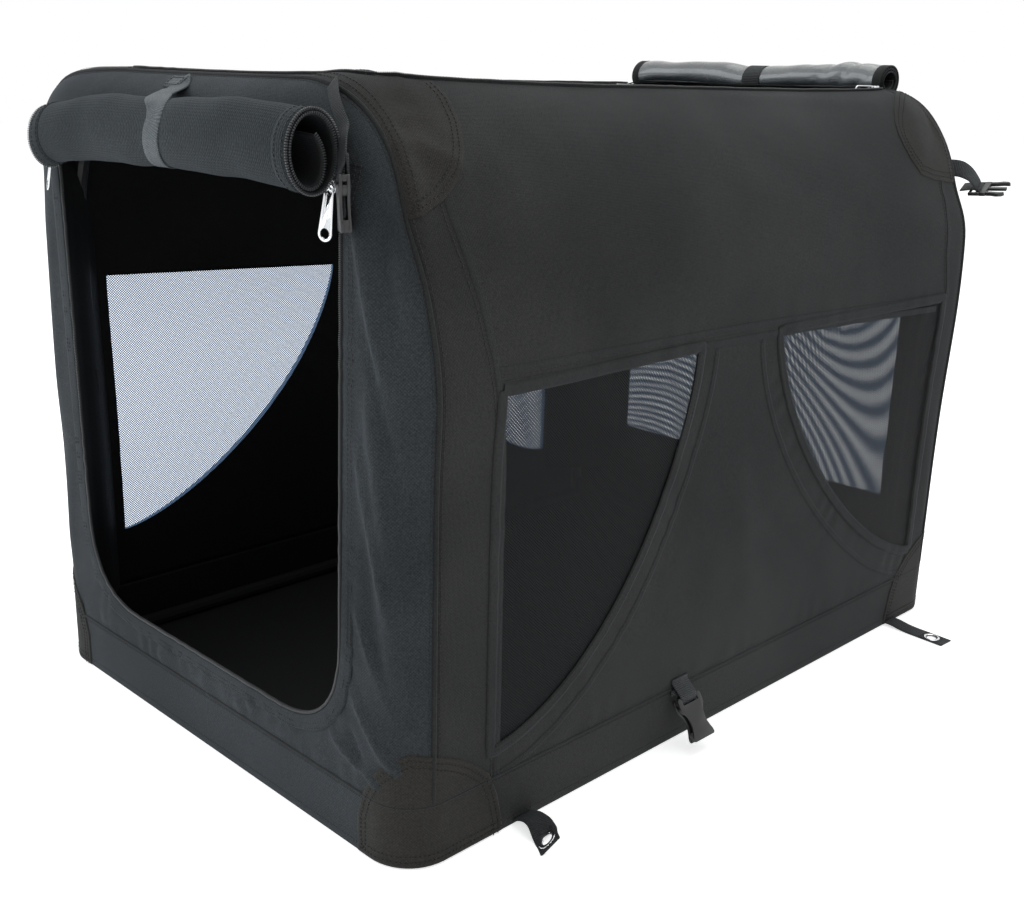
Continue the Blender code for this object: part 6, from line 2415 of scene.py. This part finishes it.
    def tab(self, end: str, side: str, sign: int, u: float) -> None:
        """One ground tab: webbing folded round its grommet, with a box of stitches.

        Args:
            end: "front" or "rear".
            side: "right" or "left".
            sign: 1 on the near side, -1 on the far side.
            u: Middle of the tab at the wall.
        """
        lifted = (end, side) == ("front", "right")
        last = np.array((-0.29, 0.84, 0.47) if lifted else (0.0, 1.0, 0.0))
        eye_back = 0.0125 if lifted else 0.020
        node = "ground_tab_%s_%s" % (end, side)
        body = Body(node)
        line = self.tab_line(end, side, sign, u)
        share = smooth(np.linspace(0, 1, len(line)), 0.25, 0.80)[:, None]
        across = (1 - share) * LENGTHWISE + share * last
        length = path_length(line)
        run = distances(line)
        eye = np.array([np.interp(length - eye_back, run, line[:, k]) for k in range(3)])
        ahead = unit(line[-1] - line[-3])
        left = unit(across[-1] - ahead * np.dot(across[-1], ahead))
        up = np.cross(ahead, left)
        up = up * np.sign(up[2])
        frame = np.stack([np.cross(left, up), left, up], -1)
        shape = ribbon(line, across, self.tab_width, self.tab_thickness)
        piece = finish_piece(shape, node + "_webbing", [WEBBING], body, soft=False)
        cut_hole(piece, placed(drill(0.0, self.eyelet_bore, 28, 0.012), eye, frame))
        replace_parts(piece, node)
        attach(piece)
        rim = ((-0.0022, -0.0011), (-0.0014, 0.0005), (0.0, 0.0016), (0.0014, 0.0013), (0.0022, 0.0009))
        shape = placed(ring(self.eyelet_radius, [*rim, (0.0022, -0.0011)]), eye, frame)
        eyelet = finish_piece(shape, node + "_eyelet", [CHROME], body, soft=False)
        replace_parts(eyelet, "grommet_%s_%s" % (end, side))
        attach(eyelet)

        def place(p: Array, q: Array, h: Array) -> Array:
            """Places on the upper face of the webbing round the eyelet."""
            return eye + np.outer(p, frame[:, 0]) + np.outer(q, left) + np.outer(0.0009 + h, up)

        box = closed_line(rectangle((-0.0115, -0.0098), (0.0105, 0.0098)), 0.004)
        seam_piece(node + "_stitches", [self.tab_stitch.sew(place, box, 0.0002)], THREAD, body)


def drill(level: float, radius: float, segments: int, depth: float) -> Shape:
    """A round cutter through the plane of a flat piece.

    Args:
        level: Place along Y.
        radius: Radius of the bore.
        segments: Sides of the cutter.
        depth: Length of the cutter.

    Returns:
        The bmesh.
    """
    bm = bmesh.new()
    bmesh.ops.create_cone(
        bm, cap_ends=True, segments=segments, radius1=radius, radius2=radius, depth=depth,
        matrix=Matrix.Translation((0.0, level, 0.0)),
    )
    return bm


def cut_hole(piece: bpy.types.Object, tool: Shape) -> None:
    """Cuts a closed tool shape out of a piece and bakes the result.

    Args:
        piece: Object that is cut.
        tool: Shape that is cut out, freed here.
    """
    mesh = to_mesh(tool, "tool")
    cutter = new_object("tool", mesh)
    modifier = piece.modifiers.new("Hole", "BOOLEAN")
    modifier.object = cutter
    modifier.operation = "DIFFERENCE"
    modifier.solver = "EXACT"
    bpy.context.view_layer.update()
    graph = bpy.context.evaluated_depsgraph_get()
    baked = bpy.data.meshes.new_from_object(piece.evaluated_get(graph), depsgraph=graph)
    piece.modifiers.remove(modifier)
    old = piece.data
    piece.data = baked
    bpy.data.meshes.remove(old)
    bpy.data.objects.remove(cutter)
    bpy.data.meshes.remove(mesh)


# Hardware


def placed(bm: Shape, origin: Array, frame: Array, scale: float = 1.0) -> Shape:
    """Moves a shape built near the origin to a place.

    Args:
        bm: Shape, changed here.
        origin: Where its origin goes.
        frame: Axes as columns.
        scale: Share of its size.

    Returns:
        The same bmesh.
    """
    rows = [[*(frame[k] * scale), origin[k]] for k in range(3)] + [[0, 0, 0, 1]]
    bmesh.ops.transform(bm, matrix=Matrix(rows), verts=bm.verts)
    if np.linalg.det(frame) < 0:
        bmesh.ops.reverse_faces(bm, faces=bm.faces)
    return bm


def ring(radius: float, section: Sequence[Pair]) -> Shape:
    """A closed section spun round the Z axis.

    Args:
        radius: Distance of the section from the axis.
        section: Its points, out from that radius and up.

    Returns:
        The bmesh.
    """
    bm = bmesh.new()
    verts = [bm.verts.new((radius + a, 0.0, b)) for a, b in section]
    edges = [bm.edges.new((a, b)) for a, b in zip(verts, verts[1:] + verts[:1])]
    turn = 2 * math.pi
    bmesh.ops.spin(
        bm, geom=verts + edges, axis=(0, 0, 1), cent=(0, 0, 0), angle=turn, steps=36, use_merge=True
    )
    bmesh.ops.remove_doubles(bm, verts=bm.verts, dist=1e-6)
    bmesh.ops.recalc_face_normals(bm, faces=bm.faces)
    return bm


def plate(outline: Sequence[Pair], thickness: float, bevel: float, level: float = 0.0) -> Shape:
    """A flat plate of any outline with rounded edges.

    Args:
        outline: Corners in the plane of the plate.
        thickness: Thickness of the plate.
        bevel: Size of the rounding.
        level: Height of its middle.

    Returns:
        The bmesh.
    """
    bm = bmesh.new()
    face = bm.faces.new([bm.verts.new((x, y, level - thickness / 2)) for x, y in outline])
    grown = bmesh.ops.extrude_face_region(bm, geom=[face])
    top = [g for g in grown["geom"] if isinstance(g, bmesh.types.BMVert)]
    bmesh.ops.translate(bm, vec=(0, 0, thickness), verts=top)
    bmesh.ops.holes_fill(bm, edges=[e for e in bm.edges if e.is_boundary], sides=0)
    bmesh.ops.recalc_face_normals(bm, faces=bm.faces)
    sharp = [e for e in bm.edges if len(e.link_faces) == 2 and e.calc_face_angle(0.0) > 0.7]
    bmesh.ops.bevel(bm, geom=sharp, offset=bevel, segments=2, profile=0.5, affect="EDGES", material=-1)
    return bm


def block(size: Sequence[float], centre: Sequence[float], bevel: float) -> Shape:
    """A small box with rounded edges.

    Args:
        size: Its three sides.
        centre: Its middle.
        bevel: Width of the rounding.

    Returns:
        The bmesh.
    """
    x, y = size[0] / 2, size[1] / 2
    bm = plate([(-x, -y), (x, -y), (x, y), (-x, y)], size[2], bevel)
    bmesh.ops.translate(bm, vec=centre, verts=bm.verts)
    return bm


def arc(centre: Pair, radius: float, low: float, high: float, steps: int) -> list[Pair]:
    """Points of an arc between two angles in degrees."""
    turns = np.radians(np.linspace(low, high, steps))
    return [(centre[0] + radius * math.cos(a), centre[1] + radius * math.sin(a)) for a in turns]


def turned_frame(across: Sequence[float], along: Sequence[float]) -> Array:
    """Right-handed axes as columns from the direction over the width and the one along the length.

    Args:
        across: Direction over the width.
        along: Direction along the length.

    Returns:
        The axes.
    """
    y = unit(np.asarray(along, float))
    x = np.asarray(across, float)
    x = unit(x - y * np.dot(x, y))
    return np.stack([x, y, np.cross(x, y)], -1)


def both_sides(half: Sequence[Pair]) -> list[Pair]:
    """A half outline with its mirror image."""
    return [*half, *((-x, y) for x, y in reversed(half))]


@dataclass(frozen=True)
class Place:
    """Where a piece of hardware hangs: its bar, the direction over its width and the one from body to bar."""

    x: float
    u: float
    z: float
    across: tuple[float, float, float]
    back: tuple[float, float, float]

    @property
    def origin(self) -> Array:
        """Middle of the bar."""
        return np.array([self.x, self.u - SIZE.middle, self.z])

    @property
    def frame(self) -> Array:
        """Axes as columns."""
        return turned_frame(self.across, self.back)


SIDE_BUCKLE_PLACE = Place(0.3215, 0.3715, 0.0500, (0.0, 1.0, 0.0), (-0.56, 0.0, 0.83))
FRONT_BUCKLE_PLACE = Place(0.2500, -0.0120, 0.5890, (0.85, -0.53, 0.0), (-0.06, 0.0, 1.0))
REAR_BUCKLE_PLACE = Place(0.2870, 0.9590, 0.5420, (0.12, -0.90, -0.42), (-0.986, -0.112, -0.067))


@dataclass(frozen=True)
class Hardware:
    """Buckles, zip sliders and pullers."""

    shell: float = 0.0024
    shell_level: float = 0.0030
    core: float = 0.0046
    bar_half: float = 0.0125
    bar_radius: float = 0.0016
    wing: float = 0.0012
    wing_levels: Pair = (0.0006, 0.0046)
    puller: float = 0.0016
    puller_top: float = 0.0044
    puller_tip: float = 0.0064
    puller_length: float = 0.0315
    puller_holes: tuple[Pair, Pair] = ((-0.0315, 0.0042), (0.0002, 0.0019))

    def build(self) -> None:
        """Builds every piece of hardware."""
        self.buckle("side_buckle", self.socket(), SIDE_BUCKLE_PLACE, 1.08)
        self.buckle("front_buckle", self.socket(), FRONT_BUCKLE_PLACE)
        self.buckle("rear_buckle", self.plug(), REAR_BUCKLE_PLACE)
        wall = np.array([(1.0, 0.0, 0.0), (0.0, 0.0, 1.0), (0.0, -1.0, 0.0)]).T
        for sign, side, lean, level in ((1, "right", 0.13, 0.6585), (-1, "left", 0.28, 0.6500)):
            hanging = turned_frame((1.0, 0.34 * sign, 0.0), (lean, 0.04, 0.97))
            self.slider("door_slider_" + side, (sign * 0.2315, -0.0022 - SIZE.middle, 0.5810), wall)
            self.hang_puller("door_puller_" + side, (sign * 0.2308, -0.0100 - SIZE.middle, 0.5760), hanging)
            roof = np.array([(0.0, 0.0, sign * 1.0), (0.0, 1.0, 0.0), (-sign * 1.0, 0.0, 0.0)]).T
            lying = turned_frame((0.0, 0.0, sign * 1.0), (0.0, 1.0, 0.06))
            self.slider("roof_slider_" + side, (sign * 0.1965, 0.8420 - SIZE.middle, level), roof)
            self.hang_puller("roof_puller_" + side, (sign * 0.1900, 0.8410 - SIZE.middle, level), lying)

    def fit(self, name: str, bm: Shape, finish: HardFinish) -> bpy.types.Object:
        """Makes a hard piece that stands for the CAD node of the same name and rides its body.

        Args:
            name: Name of the node and of its body.
            bm: Finished shape, freed here.
            finish: Finish of the piece.

        Returns:
            The new object.
        """
        piece = finish_piece(bm, name + "_detail", [finish], Body(name), soft=False)
        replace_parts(piece, name)
        return piece

    def buckle(self, name: str, bm: Shape, place: Place, scale: float = 1.0) -> None:
        """Puts one half of a buckle on its strap."""
        attach(self.fit(name, placed(bm, place.origin, place.frame, scale), PLASTIC))

    def bar(self, half: float, level: float) -> Shape:
        """A round bar over the width of a buckle."""
        return tube([(-half, level, 0.0), (0.0, level, 0.0), (half, level, 0.0)], self.bar_radius, 12)

    def socket(self) -> Shape:
        """The half that the prongs click into: two shells with open sides, a bar and a wide mouth."""
        outline = both_sides([
            (0.0112, -0.0045), (0.0112, 0.0012), (0.0126, 0.0030), (0.0150, 0.0030), (0.0166, 0.0008),
            (0.0168, -0.0040), (0.0160, -0.0088), (0.0134, -0.0128), (0.0114, -0.0165), (0.0107, -0.0215),
            (0.0112, -0.0265), (0.0128, -0.0315), (0.0146, -0.0352), (0.0150, -0.0385), (0.0140, -0.0402),
        ])
        levels = (self.shell_level, -self.shell_level)
        bm, back = (plate(outline, self.shell, 0.0005, level) for level in levels)
        core = both_sides([(0.0156, -0.0048), (0.0154, -0.0088), (0.0120, -0.0130)])
        join(bm, back, plate(core, self.core, 0.0004))
        for sign in (1, -1):
            cheek = block((0.0034, 0.0092, self.core), (sign * 0.0124, -0.0352, 0.0), 0.0004)
            join(bm, cheek, block((0.0040, 0.0050, self.core), (sign * 0.0140, 0.0002, 0.0), 0.0004))
        return join(bm, self.bar(self.bar_half, 0.0))

    def plug(self) -> Shape:
        """The half with a middle guide, two spring prongs and a ladder for the webbing."""
        bm = block((0.0300, 0.0080, 0.0048), (0.0, -0.0080, 0.0), 0.0007)
        join(bm, block((0.0046, 0.0230, 0.0036), (0.0, -0.0225, 0.0), 0.0006))
        prong = [
            (0.0098, -0.0115), (0.0142, -0.0115), (0.0146, -0.0190), (0.0162, -0.0255), (0.0156, -0.0320),
            (0.0126, -0.0350), (0.0112, -0.0340), (0.0116, -0.0270), (0.0104, -0.0190),
        ]
        mirrored = [(-x, y) for x, y in reversed(prong)]
        join(bm, plate(prong, self.core, 0.0006), plate(mirrored, self.core, 0.0006))
        for sign in (1, -1):
            join(bm, block((0.0032, 0.0150, 0.0040), (sign * 0.0134, 0.0020, 0.0), 0.0006))
        return join(bm, *(self.bar(self.bar_half + 0.0005, level) for level in (0.0, 0.0085)))

    def slider(self, name: str, origin: Sequence[float], frame: Array) -> None:
        """A zip slider: two wings, a neck and a crown that the puller hangs on.

        Args:
            name: Name of the CAD node.
            origin: Its place.
            frame: Its axes as columns.
        """
        outline = [(-0.0030, -0.0050), (0.0030, -0.0050), (0.0044, 0.0018), (0.0040, 0.0052)]
        outline += [(-0.0040, 0.0052), (-0.0044, 0.0018)]
        bm, upper = (plate(outline, self.wing, 0.0004, level) for level in self.wing_levels)
        crown = [(0.0, 0.0046, 0.0048), (0.0, 0.0042, 0.0068), (0.0, 0.0024, 0.0084), (0.0, -0.0010, 0.0086)]
        crown += [(0.0, -0.0036, 0.0074), (0.0, -0.0044, 0.0050)]
        join(bm, upper, block((0.0022, 0.0034, 0.0030), (0.0, 0.0028, 0.0026), 0.0003))
        join(bm, tube(round_path(crown, 0.002, 4), 0.0010, 10))
        attach(self.fit(name, placed(bm, origin, frame), CHROME))

    def hang_puller(self, name: str, origin: Sequence[float], frame: Array) -> None:
        """A flat puller, wide and round at its tip, with a large and a small hole.

        Args:
            name: Name of the CAD node.
            origin: Its place.
            frame: Its axes as columns.
        """
        outline = arc((0.0, 0.0), self.puller_top, 0, 180, 12)
        outline += arc((0.0, -self.puller_length), self.puller_tip, 180, 360, 20)
        shape = placed(plate(outline, self.puller, 0.0004), origin, frame)
        piece = self.fit(name, shape, CHROME)
        holes = join(bmesh.new(), *(drill(level, radius, 32, 0.01) for level, radius in self.puller_holes))
        cut_hole(piece, placed(holes, origin, frame))
        attach(piece)


# Linings


@dataclass(frozen=True)
class Linings:
    """Black cloth inside the corners, which makes the sleeves that hide the frame."""

    section: tuple[Pair, ...] = (
        (0.006, 0.070), (0.020, 0.056), (0.036, 0.047), (0.050, 0.042), (0.062, 0.036), (0.075, 0.026),
        (0.088, 0.014), (0.100, 0.003),
    )
    narrow: float = 0.70
    margin: float = 0.001
    width: float = 0.125
    rows: int = 120

    def build(self) -> None:
        """Builds the sleeve linings of both ends."""
        for end in End:
            self.sleeve(end)

    def sleeve(self, end: End) -> None:
        """One lining from the band up, over the roof and down again.

        Args:
            end: Which end it is.
        """
        z = SIZE
        across, depth = np.array(self.section).T
        turns = np.linspace(z.band + self.margin, z.girth - z.band - self.margin, self.rows)
        front = end is End.FRONT

        def place(i: Array, j: Array) -> tuple[Array, Array]:
            """Places and coordinates of the lining.

            Args:
                i: Rows of the grid.
                j: Columns of the grid.

            Returns:
                One place and one coordinate pair for each point.
            """
            t = turns[i]
            roof = 1 - smooth(np.abs(t - z.girth / 2), 0.20, 0.38)
            narrow = np.where((t < z.girth / 2) == front, 1.0, self.narrow)
            u = across[0] + (across[j] - across[0]) * narrow * (1 - 0.35 * roof * narrow)
            q = np.maximum(u, 0.052)
            point, normal = SIDE.base(t, q if front else z.length - q)
            point = point - normal * (depth[j] * (1 - 0.30 * roof))[:, None]
            point[:, 1] = (u if front else z.length - u) - z.middle
            return point, np.stack([u, t], -1)

        bm = bent_grid(self.rows, len(self.section), place)
        area = sum(f.calc_area() for f in bm.faces)
        piece = finish_piece(bm, end.name.lower() + "_sleeve_lining", [LINING], Body.BASE)
        attach(piece)


# Studio


@dataclass(frozen=True)
class View:
    """Place and lens of the camera, fitted to the photo, with its angles in degrees."""

    place: tuple[float, float, float] = (1.0296, -1.0703, 0.6699)
    yaw: float = 44.8
    pitch: float = 16.96
    roll: float = 1.61
    lens: float = 44.79
    sensor: float = 36.0
    reach: float = 50.0


@dataclass(frozen=True)
class Lamp:
    """One soft square light aimed at a target."""

    name: str
    place: tuple[float, float, float]
    target: tuple[float, float, float]
    size: float
    power: float
    color: Color

    def build(self) -> None:
        """Adds the light."""
        data = bpy.data.lights.new(self.name, "AREA")
        data.size = self.size
        data.energy = self.power
        data.color = self.color
        lamp = new_object(self.name, data)
        lamp.location = self.place
        aim = Vector(self.target) - Vector(self.place)
        lamp.rotation_euler = aim.to_track_quat("-Z", "Y").to_euler()


@dataclass(frozen=True)
class Studio:
    """White surroundings, soft light and the camera."""

    lamps: tuple[Lamp, ...] = (
        Lamp("Key", (-2.1, -2.6, 2.2), (0.0, -0.3, 0.35), 2.4, 54.0, (0.88, 0.95, 1.0)),
        Lamp("Fill", (2.6, -0.6, 1.8), (0.2, 0.0, 0.4), 2.2, 8.0, (1.0, 0.99, 0.97)),
        Lamp("Top", (0.0, 0.9, 2.9), (0.0, 0.1, 0.4), 2.4, 29.0, (0.96, 1.0, 0.97)),
    )
    view: View = View()
    sky: Color = (0.97, 0.985, 1.0)
    sky_strength: float = 0.62
    floor_color: Color = (0.93, 0.93, 0.93)
    floor_half: float = 12.0
    glow: float = 0.22
    glow_seen: float = 0.40

    def build(self) -> None:
        """Builds the floor, the lights and the camera."""
        self.surroundings()
        self.floor()
        for lamp in self.lamps:
            lamp.build()
        self.camera()

    def seen(self, g: Graph) -> bpy.types.NodeSocket:
        """1 for the rays that show the backdrop as white: camera, glossy and transmission rays."""
        rays = g.add("ShaderNodeLightPath")
        direct = g.math("MAXIMUM", rays.outputs["Is Camera Ray"], rays.outputs["Is Transmission Ray"])
        return g.math("MAXIMUM", direct, rays.outputs["Is Glossy Ray"])

    def surroundings(self) -> None:
        """A white backdrop for the camera with a softer level of light."""
        world = bpy.data.worlds.new("Studio")
        bpy.context.scene.world = world
        world.use_nodes = True
        world.node_tree.nodes.clear()
        g = Graph(world.node_tree)
        seen = self.seen(g)
        inputs = {"Color": rgba(self.sky), "Strength": self.sky_strength}
        soft = g.add("ShaderNodeBackground", inputs).outputs[0]
        white = g.add("ShaderNodeBackground", {"Color": (1.0, 1.0, 1.0, 1.0), "Strength": 1.0}).outputs[0]
        mixed = g.add("ShaderNodeMixShader", {0: seen, 1: soft, 2: white})
        g.add("ShaderNodeOutputWorld", {0: mixed.outputs[0]})

    def floor(self) -> None:
        """A pale studio floor that the light turns white."""
        bm = bmesh.new()
        bmesh.ops.create_grid(bm, x_segments=2, y_segments=2, size=self.floor_half)
        floor = new_object("studio_floor", to_mesh(bm, "studio_floor"))
        material = bpy.data.materials.new("Studio floor")
        material.use_nodes = True
        g = Graph(material.node_tree)
        g.fill(material.node_tree.nodes["Principled BSDF"], {
            "Base Color": rgba(self.floor_color),
            "Roughness": 0.9,
            "Specular IOR Level": 0.1,
            "Emission Color": (1.0, 1.0, 1.0, 1.0),
            "Emission Strength": g.math("MULTIPLY_ADD", self.seen(g), self.glow_seen, self.glow),
        })
        floor.data.materials.append(material)

    def camera(self) -> None:
        """Places the camera."""
        view = self.view
        yaw, pitch, roll = (math.radians(a) for a in (view.yaw, view.pitch, view.roll))
        level = math.cos(pitch)
        ahead = Vector((-math.sin(yaw) * level, math.cos(yaw) * level, -math.sin(pitch)))
        right = Vector((math.cos(yaw), math.sin(yaw), 0.0))
        up = right.cross(ahead)
        turned_right = right * math.cos(roll) + up * math.sin(roll)
        turned_up = up * math.cos(roll) - right * math.sin(roll)
        data = bpy.data.cameras.new("Photo")
        data.lens = view.lens
        data.sensor_width = view.sensor
        data.clip_end = view.reach
        camera = new_object("Photo", data)
        matrix = Matrix((turned_right, turned_up, -ahead)).transposed().to_4x4()
        matrix.translation = view.place
        camera.matrix_world = matrix
        bpy.context.scene.camera = camera


# Main


HARD_NODES: dict[str, tuple[HardFinish, Slot]] = {
    "base_frame": (SLEEVED, Slot.STEEL),
    "lower_leg": (STEEL, Slot.STEEL),
    "upper_hoop": (STEEL, Slot.STEEL),
    "knee_bracket": (STEEL, Slot.STEEL),
    "roof_rail": (STEEL, Slot.STEEL),
    "rail_clamp": (PLASTIC, Slot.PLASTIC),
    "floor_panel": (BOARD, Slot.BOARD),
}


def dress_frame() -> None:
    """Gives every carried-over CAD node its finish."""
    for name, node in frame["nodes"].items():
        shiny = any(word in name for word in ("slider", "puller", "grommet"))
        finish, slot = (CHROME, Slot.CHROME) if shiny else (PLASTIC, Slot.PLASTIC)
        for start, dress in HARD_NODES.items():
            if name.startswith(start):
                finish, slot = dress
        node.data.materials.clear()
        node.data.materials.append(SHOP.get(finish))


PARTS = (Cover, Rolls, Zips, Straps, Hardware, Linings, Studio)


def main() -> None:
    """Builds the looks."""
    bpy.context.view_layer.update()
    dress_frame()
    for part in PARTS:
        LOG.info("%s", part.__name__)
        part().build()
    bpy.context.scene.view_settings.view_transform = "Standard"


if __name__ == "__main__":
    main()
